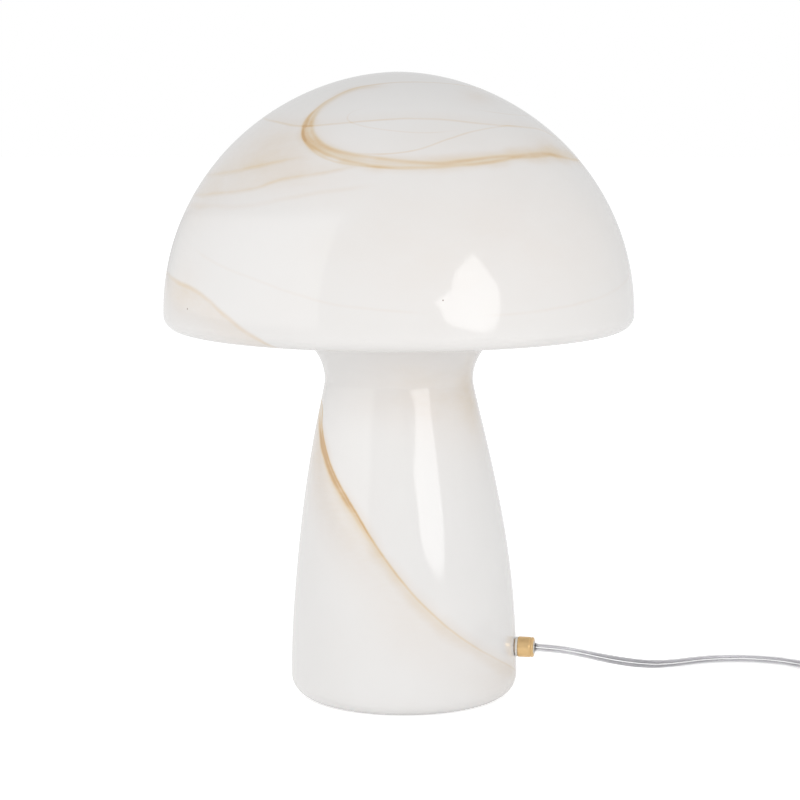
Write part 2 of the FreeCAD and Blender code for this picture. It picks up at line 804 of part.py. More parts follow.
def switch_pivot():
    span = switch_width - 2 * switch_wall
    return place_switch(Part.makeCylinder(pivot_radius, span, V(-span / 2, 0, pivot_level), V(1, 0, 0)))


def switch_terminals():
    """Two brass terminal blocks on the floor of the housing."""
    blocks = []
    for side in (-1, 1):
        corner = V(-terminal_x / 2, side * terminal_place - terminal_y / 2, switch_wall)
        block = Part.makeBox(terminal_x, terminal_y, terminal_height, corner)
        hole = Part.makeCylinder(screw_radius, terminal_height, V(0, side * terminal_place, switch_wall))
        blocks.append(block.cut(hole))
    return place_switch(Part.makeCompound(blocks))


def switch_terminal_screws():
    screws = []
    top = switch_wall + terminal_height
    for side in (-1, 1):
        place = V(0, side * terminal_place, 0)
        shank = Part.makeCylinder(screw_radius, terminal_height, place + UP * switch_wall)
        head = Part.makeCylinder(screw_head_radius, screw_head, place + UP * top)
        screws.append(shank.fuse(head).removeSplitter())
    return place_switch(Part.makeCompound(screws))


def switch_screws():
    screws = []
    for place in boss_places:
        head = Part.makeCylinder(screw_head_radius - part_gap / 2, screw_head - part_gap,
                                 place + UP * part_gap)
        shank = Part.makeCylinder(screw_radius, screw_length - screw_head, place + UP * screw_head)
        screws.append(shank.fuse(head).removeSplitter())
    return place_switch(Part.makeCompound(screws))


# --- plug -------------------------------------------------------------------------------
plug_x = coil_x + coil_outer
relief_start = end_run_points()[-1][1]
plug_start = relief_start + relief_length
plug_face = plug_start + plug_length


def strain_relief():
    """Tapered collar where the cord enters the plug."""
    return Part.makeCone(cord_radius + relief_tip_wall, relief_end_radius, relief_length,
                         V(plug_x, relief_start, plug_level), V(0, 1, 0))


def along_pins(radius, start, length):
    """Two round bars on the pins' axes."""
    starts = [V(plug_x + side * pin_pitch / 2, start, plug_level) for side in (-1, 1)]
    return [Part.makeCylinder(radius, length, place, V(0, 1, 0)) for place in starts]


def plug_body():
    """Flat moulded body that widens from the strain relief to the pin face."""
    neck, face = plug_neck_width / 2, plug_width / 2
    low = plug_level - plug_thick / 2
    shoulder = plug_start + plug_shoulder
    outline = [(-neck, plug_start), (neck, plug_start), (face, shoulder), (face, plug_face),
               (-face, plug_face), (-face, shoulder)]
    corners = [V(plug_x + x, y, low) for x, y in outline]
    body = Part.Face(Part.makePolygon(corners + corners[:1])).extrude(UP * plug_thick)
    upright = [e for e in body.Edges if abs(e.BoundBox.ZLength - plug_thick) < 1e-6]
    body = body.makeFillet(plug_edge, upright)
    for root in along_pins(pin_core_radius, plug_face - pin_depth, pin_depth):
        body = body.cut(root)
    return body


def plug_pins():
    """Pins with a thinner core under their sleeves and in the body, and a rounded tip."""
    tip_start = plug_face + sleeve_length
    pins = []
    for core, tip in zip(along_pins(pin_core_radius, plug_face - pin_depth, pin_depth + sleeve_length),
                         along_pins(pin_radius, tip_start, pin_length - sleeve_length)):
        end = [e for e in tip.Edges if abs(e.BoundBox.YMin - plug_face - pin_length) < 1e-6]
        pins.append(core.fuse(tip.makeFillet(pin_round, end)).removeSplitter())
    return Part.makeCompound(pins)


def pin_sleeves():
    """Insulating sleeves over the pins' first half."""
    outside = along_pins(sleeve_radius, plug_face, sleeve_length)
    inside = along_pins(pin_core_radius, plug_face, sleeve_length)
    return Part.makeCompound([a.cut(b) for a, b in zip(outside, inside)])


PIECES = {
    "glass_body": glass_body,
    "gland_collar": gland_collar,
    "gland_bush": gland_bush,
    "gland_seal": gland_seal,
    "gland_tube": gland_tube,
    "gland_inner_seal": gland_inner_seal,
    "gland_nut": gland_nut,
    "base_plate": base_plate,
    "plate_edging": plate_edging,
    "holder_bracket": holder_bracket,
    "bracket_rivets": bracket_rivets,
    "holder_nipple": holder_nipple,
    "nipple_washer": nipple_washer,
    "nipple_nut": nipple_nut,
    "nipple_bush": nipple_bush,
    "holder_cap": holder_cap,
    "holder_grub_screw": holder_grub_screw,
    "holder_insert": holder_insert,
    "terminal_screws": terminal_screws,
    "centre_contact": centre_contact,
    "thread_liner": thread_liner,
    "holder_shell": holder_shell,
    "core_ends": core_ends,
    "inner_flex": inner_flex,
    "bulb_tip": bulb_tip,
    "bulb_insulator": bulb_insulator,
    "bulb_screw_cap": bulb_screw_cap,
    "bulb_collar": bulb_collar,
    "bulb_board": bulb_board,
    "bulb_globe": bulb_globe,
    "cord_lamp_run": lambda: cord_tube(lamp_run_points(), "cord_lamp_run"),
    "switch_lower_shell": switch_lower_shell,
    "switch_upper_shell": switch_upper_shell,
    "switch_rocker": switch_rocker,
    "switch_pivot": switch_pivot,
    "switch_terminals": switch_terminals,
    "switch_terminal_screws": switch_terminal_screws,
    "switch_screws": switch_screws,
    "cord_switch_run": lambda: cord_tube(plug_run_points(), "cord_switch_run"),
    "cord_coil": cord_coil,
    "cord_tie": cord_tie,
    "cord_end_run": lambda: cord_tube(end_run_points(), "cord_end_run"),
    "plug_strain_relief": strain_relief,
    "plug_body": plug_body,
    "plug_pins": plug_pins,
    "pin_sleeves": pin_sleeves,
}

os.makedirs("parts", exist_ok=True)
for name, make in PIECES.items():
    shape = make()
    print(name, shape.ShapeType, len(shape.Solids), "valid", shape.isValid(), round(shape.Volume, 1))
    shape.exportStep("parts/" + name + ".step")
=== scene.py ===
"""Mushroom table lamp in marbled opal glass: the looks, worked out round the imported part."""
import logging
import math
from collections.abc import Callable, Sequence
from dataclasses import dataclass, field
from enum import Enum
from typing import Any, ClassVar

import bpy
import numpy as np
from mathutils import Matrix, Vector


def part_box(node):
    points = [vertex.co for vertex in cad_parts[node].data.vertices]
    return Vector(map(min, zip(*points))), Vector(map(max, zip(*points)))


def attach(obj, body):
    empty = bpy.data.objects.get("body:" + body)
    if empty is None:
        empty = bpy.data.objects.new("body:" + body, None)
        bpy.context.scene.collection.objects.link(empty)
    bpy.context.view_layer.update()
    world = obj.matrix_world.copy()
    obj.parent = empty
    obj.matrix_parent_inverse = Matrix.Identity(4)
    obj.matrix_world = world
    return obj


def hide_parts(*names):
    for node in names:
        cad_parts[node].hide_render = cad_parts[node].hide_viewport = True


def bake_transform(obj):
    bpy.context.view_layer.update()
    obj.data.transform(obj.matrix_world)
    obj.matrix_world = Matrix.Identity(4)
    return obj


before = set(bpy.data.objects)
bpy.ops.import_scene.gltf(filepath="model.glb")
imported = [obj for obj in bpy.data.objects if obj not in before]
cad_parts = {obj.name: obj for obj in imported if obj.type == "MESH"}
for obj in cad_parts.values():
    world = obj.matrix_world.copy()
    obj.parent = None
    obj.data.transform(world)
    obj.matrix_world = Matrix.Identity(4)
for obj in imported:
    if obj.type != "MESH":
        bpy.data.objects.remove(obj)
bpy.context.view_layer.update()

Array = np.ndarray
Pair = tuple[float, float]
Point = tuple[float, float, float]
Colour = tuple[float, float, float, float]
Object = bpy.types.Object
MM = 0.001
TINY = 1e-12
FULL_TURN = 2.0 * math.pi
UP = np.array([0.0, 0.0, 1.0])
WHITE: Colour = (1.0, 1.0, 1.0, 1.0)
EVEN: Point = (1.0, 1.0, 1.0)
SHARP_ANGLE = math.radians(40)
CORNER_ROOM = 0.45
THREAD_STEPS = 8
THREAD_RUN_OUT = 0.7
FINE_PITCH, FINE_DEPTH = 1.0, 0.3
PATCH_START = 0.35
log = logging.getLogger("lamp")


# --- small helpers ------------------------------------------------------------------------
def srgb(red: float, green: float, blue: float) -> Colour:
    """Linear colour of a screen colour.

    Formula: c = ((v / 255 + 0.055) / 1.055) ** 2.4 above the toe, v / 255 / 12.92 in it.

    Args:
        red: Screen value from 0 to 255.
        green: Screen value from 0 to 255.
        blue: Screen value from 0 to 255.

    Returns:
        Linear red, green, blue and an alpha of 1.
    """
    share = np.array([red, green, blue]) / 255.0
    linear = np.where(share > 0.04045, ((share + 0.055) / 1.055) ** 2.4, share / 12.92)
    return (*linear.tolist(), 1.0)


def times(colour: Colour, *shares: float) -> Colour:
    """Opaque colour times one share, or times one share for each of its three channels."""
    red, green, blue = shares if len(shares) == 3 else shares * 3
    return (colour[0] * red, colour[1] * green, colour[2] * blue, 1.0)


def smooth(low: float, high: float, value: Array) -> Array:
    """Smooth step from 0 at low to 1 at high: t * t * (3 - 2 * t)."""
    t = np.clip((np.asarray(value, float) - low) / (high - low), 0.0, 1.0)
    return t * t * (3.0 - 2.0 * t)


def unit(vectors: Array) -> Array:
    """Vectors scaled to length 1 along the last axis."""
    return vectors / np.maximum(np.linalg.norm(vectors, axis=-1, keepdims=True), TINY)


def run_lengths(points: Array) -> Array:
    """Length along a polyline up to each of its points."""
    return np.concatenate([[0.0], np.cumsum(np.linalg.norm(np.diff(points, axis=0), axis=1))])


def round_angles(count: int) -> Array:
    """Even angles once round, in radians."""
    return np.arange(count) * FULL_TURN / count


def spun(radius: Array, angle: Array, height: Array) -> Array:
    """Points (r cos a, r sin a, z), as (row, column, xyz)."""
    return np.stack(np.broadcast_arrays(radius * np.cos(angle), radius * np.sin(angle), height), axis=-1)


def out_from(turn: Array, distance: float, height: Array) -> Array:
    """Points at a turn in degrees right of the front: (d sin a, -d cos a, z)."""
    angle = np.radians(turn)
    return np.stack([distance * np.sin(angle), -distance * np.cos(angle), height], axis=-1)


def bezier(poles: Sequence[Sequence[float]], count: int) -> Array:
    """Points of a cubic curve: (1-t)^3 a + 3t(1-t)^2 b + 3t^2(1-t) c + t^3 d.

    Args:
        poles: The four control points.
        count: How many points.

    Returns:
        Points as rows.
    """
    a, b, c, d = (np.array(pole, float) for pole in poles)
    t = np.linspace(0.0, 1.0, count)[:, None]
    return (1 - t) ** 3 * a + 3 * t * (1 - t) ** 2 * b + 3 * t * t * (1 - t) * c + t ** 3 * d


def arc(centre: Sequence[float], radius: float, start: float, end: float, count: int) -> Array:
    """Points of a flat arc, centre + radius * (cos a, sin a), with angles in degrees."""
    angle = np.radians(np.linspace(start, end, count))
    return np.asarray(centre) + radius * np.stack([np.cos(angle), np.sin(angle)], axis=1)


def rectangle(x: Pair, y: Pair) -> list[Pair]:
    """Corners of a rectangle over two ranges, in order."""
    return [(x[0], y[0]), (x[1], y[0]), (x[1], y[1]), (x[0], y[1])]


def rounded(corners: Sequence[Sequence[float]], reach: float, closed: bool, steps: int = 5) -> Array:
    """Outline with its corners turned into small curves.

    Formula: each corner p becomes (1-t)^2 (p - reach u) + 2t(1-t) p + t^2 (p + reach w), with u and w the
    directions of its two runs, and reach held below a share of either run.

    Args:
        corners: Corner points of (radius, height).
        reach: How far from the corner the curve starts.
        closed: Whether the last corner joins the first. Open outlines keep their two ends.
        steps: Points on each corner.

    Returns:
        Points as rows.
    """
    p = np.array(corners, float)
    back, on = p - np.roll(p, 1, axis=0), np.roll(p, -1, axis=0) - p
    room = CORNER_ROOM * np.minimum(np.linalg.norm(back, axis=1), np.linalg.norm(on, axis=1))
    near = np.minimum(reach, room)[:, None]
    first, last = p - unit(back) * near, p + unit(on) * near
    t = np.linspace(0.0, 1.0, steps)[None, :, None]
    curve = (1 - t) ** 2 * first[:, None] + 2 * t * (1 - t) * p[:, None] + t * t * last[:, None]
    if closed:
        return curve.reshape(-1, 2)
    return np.concatenate([p[:1], curve[1:-1].reshape(-1, 2), p[-1:]])


def smooth_path(points: Sequence[Sequence[float]], count: int) -> Array:
    """Even samples of a smooth curve through the points.

    Formula: between two points, the cubic with end slopes (next - previous) / 2.

    Args:
        points: Points as rows.
        count: How many samples.

    Returns:
        Samples as rows, the same number between each two points.
    """
    p = np.array(points, float)
    slope = np.gradient(p, axis=0)
    place = np.linspace(0.0, len(p) - 1.0, count)
    k = np.minimum(place.astype(int), len(p) - 2)
    t = (place - k)[:, None]
    return ((1 + 2 * t) * (1 - t) ** 2 * p[k] + t * (1 - t) ** 2 * slope[k]
            + t * t * (3 - 2 * t) * p[k + 1] + t * t * (t - 1) * slope[k + 1])


@dataclass(frozen=True)
class Axis:
    """A place and a direction that a turned piece is built along."""

    origin: Point = (0.0, 0.0, 0.0)
    along: Point = (0.0, 0.0, 1.0)
    across: Point = (1.0, 0.0, 0.0)

    def place(self, points: Array) -> Array:
        """Points from the piece's own axes to the lamp's: origin + x * across + y * other + z * along."""
        along, across = unit(np.array(self.along, float)), unit(np.array(self.across, float))
        return np.array(self.origin, float) + points @ np.stack([across, np.cross(along, across), along])


UPRIGHT = Axis()


def placed(name: str, data: Any) -> Object:
    """Puts an object of some data into the scene.

    Args:
        name: Name of the object.
        data: Its mesh, curve, light or camera.

    Returns:
        The object.
    """
    made = bpy.data.objects.new(name, data)
    bpy.context.scene.collection.objects.link(made)
    return made


def sheet(name: str, points: Array, faces: Sequence[Sequence[int]]) -> Object:
    """Open mesh of points and faces.

    Args:
        name: Name of the object and its mesh.
        points: Its points in millimetres.
        faces: The numbers of each face's points.

    Returns:
        The object.
    """
    mesh = bpy.data.meshes.new(name)
    mesh.from_pydata((points * MM).tolist(), [], faces)
    return placed(name, mesh)


def read_points(mesh: bpy.types.Mesh) -> Array:
    """Reads a mesh's points.

    Args:
        mesh: The mesh.

    Returns:
        Points in millimetres, as rows.
    """
    read = np.empty(len(mesh.vertices) * 3)
    mesh.vertices.foreach_get("co", read)
    return read.reshape(-1, 3) / MM


def keep_vectors(mesh: bpy.types.Mesh, name: str, values: Array) -> None:
    """Keeps a row of three numbers on each point of a mesh."""
    layer = mesh.attributes.new(name, "FLOAT_VECTOR", "POINT")
    layer.data.foreach_set("vector", values.astype(np.float32).ravel())


def surface(name: str, rows: Array, ring: bool = False) -> Object:
    """Closed mesh from a grid of points whose columns go once round.

    Formula: face (i, j) joins points (i, j), (i, j + 1), (i + 1, j + 1) and (i + 1, j), with j + 1 taken
    round. Without ring, each end is closed by a centre point. The map holds the share of the way round and
    the length in metres.

    Args:
        name: Name of the object and its mesh.
        rows: Points in millimetres, as (row, column, xyz).
        ring: Whether the last row joins the first.

    Returns:
        The object, at the origin, with its faces outwards.
    """
    width = rows.shape[1]
    if not ring:
        centres = [np.repeat(row.mean(axis=0, keepdims=True), width, axis=0) for row in (rows[0], rows[-1])]
        rows = np.concatenate([centres[:1], rows, centres[1:]])
    index = np.arange(len(rows) * width).reshape(-1, width)
    if not ring:
        index[0], index[-1] = index[0, 0], index[-1, 0]
    used, index = np.unique(index, return_inverse=True)
    index = index.reshape(-1, width)
    points = rows.reshape(-1, 3)[used] * MM
    if ring:
        index, rows = np.concatenate([index, index[:1]]), np.concatenate([rows, rows[:1]])
    low, high = index[:-1], index[1:]
    flat = np.stack([low, np.roll(low, -1, axis=1), np.roll(high, -1, axis=1), high], axis=-1).reshape(-1, 4)
    steps = np.linalg.norm(np.diff(rows, axis=0), axis=2).mean(axis=1)
    height, around = np.concatenate([[0.0], np.cumsum(steps)]) * MM, np.arange(width + 1) / width
    u_low, v_low = np.meshgrid(around[:-1], height[:-1])
    u_high, v_high = np.meshgrid(around[1:], height[1:])
    uv = np.stack([u_low, v_low, u_high, v_low, u_high, v_high, u_low, v_high], axis=-1).reshape(-1, 4, 2)
    corners = points[flat]
    if sum(np.sum(corners[:, 0] * np.cross(corners[:, k], corners[:, k + 1])) for k in (1, 2)) < 0:
        flat, uv = flat[:, ::-1], uv[:, ::-1]
    keep = flat != np.roll(flat, 1, axis=1)
    total = keep.sum(axis=1)
    mesh = bpy.data.meshes.new(name)
    mesh.vertices.add(len(points))
    mesh.vertices.foreach_set("co", points.ravel())
    mesh.loops.add(int(total.sum()))
    mesh.loops.foreach_set("vertex_index", flat[keep])
    mesh.polygons.add(len(flat))
    mesh.polygons.foreach_set("loop_start", np.concatenate([[0], np.cumsum(total)[:-1]]))
    mesh.polygons.foreach_set("loop_total", total)
    mesh.uv_layers.new(name="around").data.foreach_set("uv", uv[keep].ravel())
    mesh.update(calc_edges=True)
    mesh.validate()
    mesh.shade_smooth()
    return placed(name, mesh)


def turned(name: str, outline: Array, columns: int = 64, ring: bool = False, axis: Axis = UPRIGHT) -> Object:
    """Piece turned round an axis: P(i, a) = (r_i cos a, r_i sin a, z_i).

    Args:
        name: Name of the piece.
        outline: Points of (radius, height) in millimetres.
        columns: Faces round the axis.
        ring: Whether the outline is a closed loop. Otherwise its ends are closed on the axis.
        axis: Where the piece stands.

    Returns:
        The piece.
    """
    rows = spun(outline[:, :1], round_angles(columns), outline[:, 1:])
    made = surface(name, axis.place(rows), ring)
    made.data.set_sharp_from_angle(angle=SHARP_ANGLE)
    return made


def threaded(name: str, radii: Pair, span: Pair, pitch: float = FINE_PITCH, depth: float = FINE_DEPTH,
             axis: Axis = UPRIGHT, columns: int = 40) -> Object:
    """Threaded tube: r(a, z) = outer - depth * (0.5 - 0.5 cos(2 pi z / pitch - a)), run out at both ends.

    Args:
        name: Name of the piece.
        radii: Radius of the bore, and radius over the thread's crests.
        span: Where the tube starts and ends on its axis.
        pitch: Length of one turn of the thread.
        depth: How deep the thread is cut.
        axis: Where the tube stands.
        columns: Faces round the axis.

    Returns:
        The tube.
    """
    (inner, outer), (low, high) = radii, span
    angle = round_angles(columns)[None, :]
    height = np.linspace(low, high, int((high - low) / pitch * THREAD_STEPS) + 2)[:, None]
    cut = 0.5 - 0.5 * np.cos(FULL_TURN * height / pitch - angle)
    run_out = THREAD_RUN_OUT * pitch
    ends = smooth(low, low + run_out, height) * (1 - smooth(high - run_out, high, height))
    thread = spun(outer - depth * (cut * ends + (1 - ends)), angle, height)
    rows = np.concatenate([spun(inner, angle, low), thread, spun(inner, angle, high)])
    return surface(name, axis.place(rows), True)


def keep_piece(piece: Object, body: str, finish: "Finish", slot: str, *nodes: str) -> Object:
    """Gives a new piece its finish and body, and hides the solids that it stands for.

    Args:
        piece: The new piece.
        body: Body that it moves with. An empty name leaves it without a body.
        finish: Its finish.
        slot: The record's material slot. Not used.
        *nodes: Solids that it stands for.

    Returns:
        The piece.
    """
    piece.data.materials.clear()
    piece.data.materials.append(finish.material())
    if body:
        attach(piece, body)
    if nodes:
        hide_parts(*nodes)
    return piece


def dress(finish: "Finish", *nodes: str) -> None:
    """Puts a finish on solids that are shown as they are.

    Args:
        finish: The finish.
        *nodes: The solids' names.
    """
    for solid in (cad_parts[node] for node in nodes):
        if not solid.material_slots:
            solid.data.materials.append(finish.material())
        for place in solid.material_slots:
            place.material = finish.material()


# --- shader wiring ------------------------------------------------------------------------
def maths(operation: str, swapped: bool = False, clamp: bool = False) -> Callable[..., "Wire"]:
    """Makes a method that adds a Math node.

    Args:
        operation: The node's operation.
        swapped: Whether the other value comes first.
        clamp: Whether the result is held between 0 and 1.

    Returns:
        The method.
    """
    def method(self: "Wire", other: Any = 0.0) -> "Wire":
        """Math node of the wire and another value."""
        first, second = (other, self) if swapped else (self, other)
        return self.shader.add("Math", {0: first, 1: second}, operation=operation, use_clamp=clamp)
    return method


class Wire:
    """One output of a shader node. Arithmetic on it adds Math nodes."""

    __add__, __radd__ = maths("ADD"), maths("ADD", swapped=True)
    __sub__, __rsub__ = maths("SUBTRACT"), maths("SUBTRACT", swapped=True)
    __mul__, __rmul__ = maths("MULTIPLY"), maths("MULTIPLY", swapped=True)
    __abs__, sine, clamped = maths("ABSOLUTE"), maths("SINE"), maths("ADD", clamp=True)

    def __init__(self, shader: "Shader", socket: bpy.types.NodeSocket) -> None:
        """Keeps the socket and the shader that it belongs to."""
        self.shader, self.socket = shader, socket

    def beside(self, output: str | int) -> "Wire":
        """Another output of the same node."""
        return Wire(self.shader, self.socket.node.outputs[output])

    def about(self, middle: Any, width: float) -> "Wire":
        """The noise spread about a middle: middle + (noise - 0.5) * width."""
        return middle + (self - 0.5) * width

    def step(self, low: float, high: float, start: float = 0.0, end: float = 1.0) -> "Wire":
        """Smooth step from start at low to end at high."""
        ends = {"Value": self, "From Min": low, "From Max": high, "To Min": start, "To Max": end}
        return self.shader.add("MapRange", ends, interpolation_type="SMOOTHSTEP")


class Shader:
    """A material or a world that is being wired."""

    def __init__(self, name: str | bpy.types.World) -> None:
        """Starts an empty material, or takes a world, with its output.

        Args:
            name: Name of the new material, or the world.
        """
        is_name = isinstance(name, str)
        self.made = bpy.data.materials.new(name) if is_name else name
        self.made.use_nodes = True
        self.tree = self.made.node_tree
        self.tree.nodes.clear()
        self.output = self.tree.nodes.new("ShaderNodeOutputMaterial" if is_name else "ShaderNodeOutputWorld")

    def add(self, kind: str, inputs: dict[str | int, Any] | None = None, output: str | int = 0,
            **settings: Any) -> Wire:
        """Adds a node, sets it, then fills or links its sockets.

        Args:
            kind: The node's type, without the ShaderNode before it.
            inputs: Values or wires by socket name or number.
            output: Name or number of the output to give back.
            **settings: The node's settings.

        Returns:
            The output.
        """
        node = self.tree.nodes.new("ShaderNode" + kind)
        for key, value in settings.items():
            setattr(node, key, value)
        for key, value in (inputs or {}).items():
            if isinstance(value, Wire):
                self.tree.links.new(value.socket, node.inputs[key])
            else:
                node.inputs[key].default_value = value
        return Wire(self, node.outputs[output])

    def place(self, stretch: Point = EVEN) -> Wire:
        """The piece's own coordinates, stretched."""
        here = self.add("TexCoord", output="Object")
        return here if stretch == EVEN else self.add("Mapping", {"Vector": here, "Scale": stretch})

    def noise(self, scale: float, detail: float = 2.0, stretch: Point = EVEN, rough: float = 0.5) -> Wire:
        """Noise from 0 to 1."""
        place = self.place(stretch)
        return self.add("TexNoise", {"Vector": place, "Scale": scale, "Detail": detail, "Roughness": rough})

    def parts(self, vector: Wire) -> tuple[Wire, Wire, Wire]:
        """The three numbers of a vector."""
        first = self.add("SeparateXYZ", {0: vector})
        return first, first.beside(1), first.beside(2)

    def attribute(self, name: str) -> Wire:
        """A vector kept on the piece's points."""
        return self.add("Attribute", output="Vector", attribute_name=name)

    def mix(self, first: Any, second: Any, share: Any, blend: str = "MIX") -> Wire:
        """Colour between two colours."""
        return self.add("Mix", {0: share, 6: first, 7: second}, 2, data_type="RGBA", blend_type=blend)

    def patchy(self, dull: Colour, colour: Colour, drift: Wire, low: float = 0.3) -> Wire:
        """Colour with duller patches where a noise is low: a smooth step from low to 1 - low."""
        return self.mix(dull, colour, drift.step(low, 1.0 - low))

    def ramp(self, share: Wire, stops: Sequence[tuple[float, Colour]]) -> Wire:
        """Colour between stops.

        Args:
            share: Where between the stops, from 0 to 1.
            stops: (place, colour) pairs in order.

        Returns:
            The colour.
        """
        wire = self.add("ValToRGB", {0: share})
        elements = wire.socket.node.color_ramp.elements
        for place, _ in stops[2:]:
            elements.new(place)
        for element, (place, colour) in zip(elements, stops):
            element.position, element.color = place, colour
        return wire

    def bump(self, height: Wire, distance: float, strength: float = 1.0) -> Wire:
        """Normal of a surface raised by height times distance."""
        return self.add("Bump", {"Height": height, "Distance": distance, "Strength": strength})

    def close(self, last: Wire) -> bpy.types.Material:
        """Links the last node to the output's surface."""
        self.tree.links.new(last.socket, self.output.inputs["Surface"])
        return self.made

    def finish(self, **sockets: Any) -> bpy.types.Material:
        """Closes the material with one principled surface, its sockets named with _ for a space."""
        named = {key.replace("_", " "): value for key, value in sockets.items()}
        return self.close(self.add("BsdfPrincipled", named))


# --- finishes -----------------------------------------------------------------------------
@dataclass(frozen=True)
class Finish:
    """A finish that is made once and then shared."""

    name: str
    made: ClassVar[dict[str, bpy.types.Material]] = {}

    def material(self) -> bpy.types.Material:
        """Wires the material at its first use.

        Returns:
            The material.
        """
        if self.name not in Finish.made:
            Finish.made[self.name] = self.build()
        return Finish.made[self.name]

    def build(self) -> bpy.types.Material:
        """Wires the material."""
        raise NotImplementedError


@dataclass(frozen=True)
class Moulded(Finish):
    """Moulded plastic, ceramic or rubber with a fine grain and a little unevenness."""

    colour: Colour
    rough: float
    grain: float
    relief: float
    unevenness: float
    drift_scale: float = 45.0
    rough_spread: float = 0.15

    def build(self) -> bpy.types.Material:
        """Colour and roughness drift slowly, and the grain is a bump.

        Returns:
            The material.
        """
        shader = Shader(self.name)
        drift = shader.noise(self.drift_scale, 3.0)
        dark = times(self.colour, 1 - self.unevenness)
        return shader.finish(Base_Color=shader.patchy(dark, self.colour, drift),
                             Roughness=drift.about(self.rough, self.rough_spread),
                             Normal=shader.bump(shader.noise(self.grain, 3.0), self.relief))


@dataclass(frozen=True)
class Metal(Finish):
    """Metal with drawn or turned marks."""

    colour: Colour
    rough: float
    stretch: Point
    marks: float
    relief: float
    tarnish: float
    age_scale: float = 60.0
    mark_detail: float = 2.0
    age_detail: float = 4.0
    mark_spread: float = 0.12
    age_spread: float = 0.16

    def build(self) -> bpy.types.Material:
        """Marks are a noise stretched along the grain, and tarnish a slow one.

        Returns:
            The material.
        """
        shader = Shader(self.name)
        marks = shader.noise(self.marks, self.mark_detail, self.stretch)
        age = shader.noise(self.age_scale, self.age_detail)
        dull = times(self.colour, 1 - self.tarnish)
        return shader.finish(Base_Color=shader.patchy(dull, self.colour, age, PATCH_START),
                             Roughness=age.about(marks.about(self.rough, self.mark_spread), self.age_spread),
                             Metallic=1.0, Normal=shader.bump(marks, self.relief))


@dataclass(frozen=True)
class Clear(Finish):
    """Clear moulded plastic with a faint haze."""

    tint: Colour
    rough: float
    clarity: float
    relief: float = 0.00003
    haze: float = 0.93
    drift_scale: float = 80.0
    rough_spread: float = 0.1
    bending: float = 1.46

    def build(self) -> bpy.types.Material:
        """Roughness drifts with a slow noise, and the surface is slightly wavy.

        Returns:
            The material.
        """
        shader = Shader(self.name)
        drift = shader.noise(self.drift_scale, 3.0)
        return shader.finish(Base_Color=shader.patchy(times(self.tint, self.haze), self.tint, drift),
                             Roughness=drift.about(self.rough, self.rough_spread), IOR=self.bending,
                             Transmission_Weight=self.clarity, Normal=shader.bump(drift, self.relief))


@dataclass(frozen=True)
class Strands(Finish):
    """Bare wire: fine strands laid in a long twist, from the tube's own length and turn."""

    colour: Colour
    lay: float = 0.011
    count: float = 7.0
    # share of the colour kept in the grooves between strands: painted shade
    groove_shade: float = 0.62
    rough: Pair = (0.42, 0.14)
    relief: float = 0.0001

    def build(self) -> bpy.types.Material:
        """Strand height is |sin(pi * count * (u + v / lay))|, and the grooves between strands are darker with
        painted shade.

        Returns:
            The material.
        """
        shader = Shader(self.name)
        around, length, _ = shader.parts(shader.add("UVMap", uv_map="around"))
        strand = abs((around * (self.count * math.pi) + length * (math.pi * self.count / self.lay)).sine())
        # painted shade: the colour is darker in the grooves between strands
        dark = times(self.colour, self.groove_shade)
        return shader.finish(Base_Color=shader.mix(dark, self.colour, strand.step(0.0, 0.5)),
                             Roughness=self.rough[0] - strand * self.rough[1], Metallic=1.0,
                             Normal=shader.bump(strand, self.relief))


@dataclass(frozen=True)
class OpalGlow(Finish):
    """Milky shell of the bulb's globe, in which light goes a little way under the surface."""

    colour: Colour = (0.87, 0.86, 0.84, 1.0)
    warmth: Point = (0.97, 0.96, 0.94)
    drift_scale: float = 35.0
    drift_detail: float = 3.0
    rough: Pair = (0.22, 0.1)
    depth: Point = (0.01, 0.01, 0.01)
    milk: float = 0.3

    def build(self) -> bpy.types.Material:
        """A slow noise drifts the colour and the roughness.

        Returns:
            The material.
        """
        shader = Shader(self.name)
        drift = shader.noise(self.drift_scale, self.drift_detail)
        warm = times(self.colour, *self.warmth)
        return shader.finish(Base_Color=shader.patchy(warm, self.colour, drift, PATCH_START),
                             Roughness=drift.about(*self.rough), Subsurface_Weight=self.milk,
                             Subsurface_Radius=self.depth, Subsurface_Scale=self.milk)


@dataclass(frozen=True)
class Swirl:
    """One swirl of coloured glass, drawn on the blown form.

    The path holds (turn, station) points: degrees to the right of the front, and millimetres along the
    outside from the foot's ring to the crown. Width and strength change from the path's start to its end.
    Haze spreads to one side, to the crown's side of a stroke that runs to the right where reach is above 0.
    """

    name: str
    path: tuple[Pair, ...]
    width: Pair
    strength: Pair
    haze: float = 0.0
    reach: float = 0.0
    fade: float = 22.0


@dataclass(frozen=True)
class Cloud:
    """A soft patch of colour in the glass: its middle, its half sizes in millimetres and its strength."""

    turn: float
    station: float
    across: float
    along: float
    strength: float
    tilt: float = 0.0


@dataclass(frozen=True)
class Speck:
    """A dark seed in the glass."""

    turn: float
    station: float
    radius: float


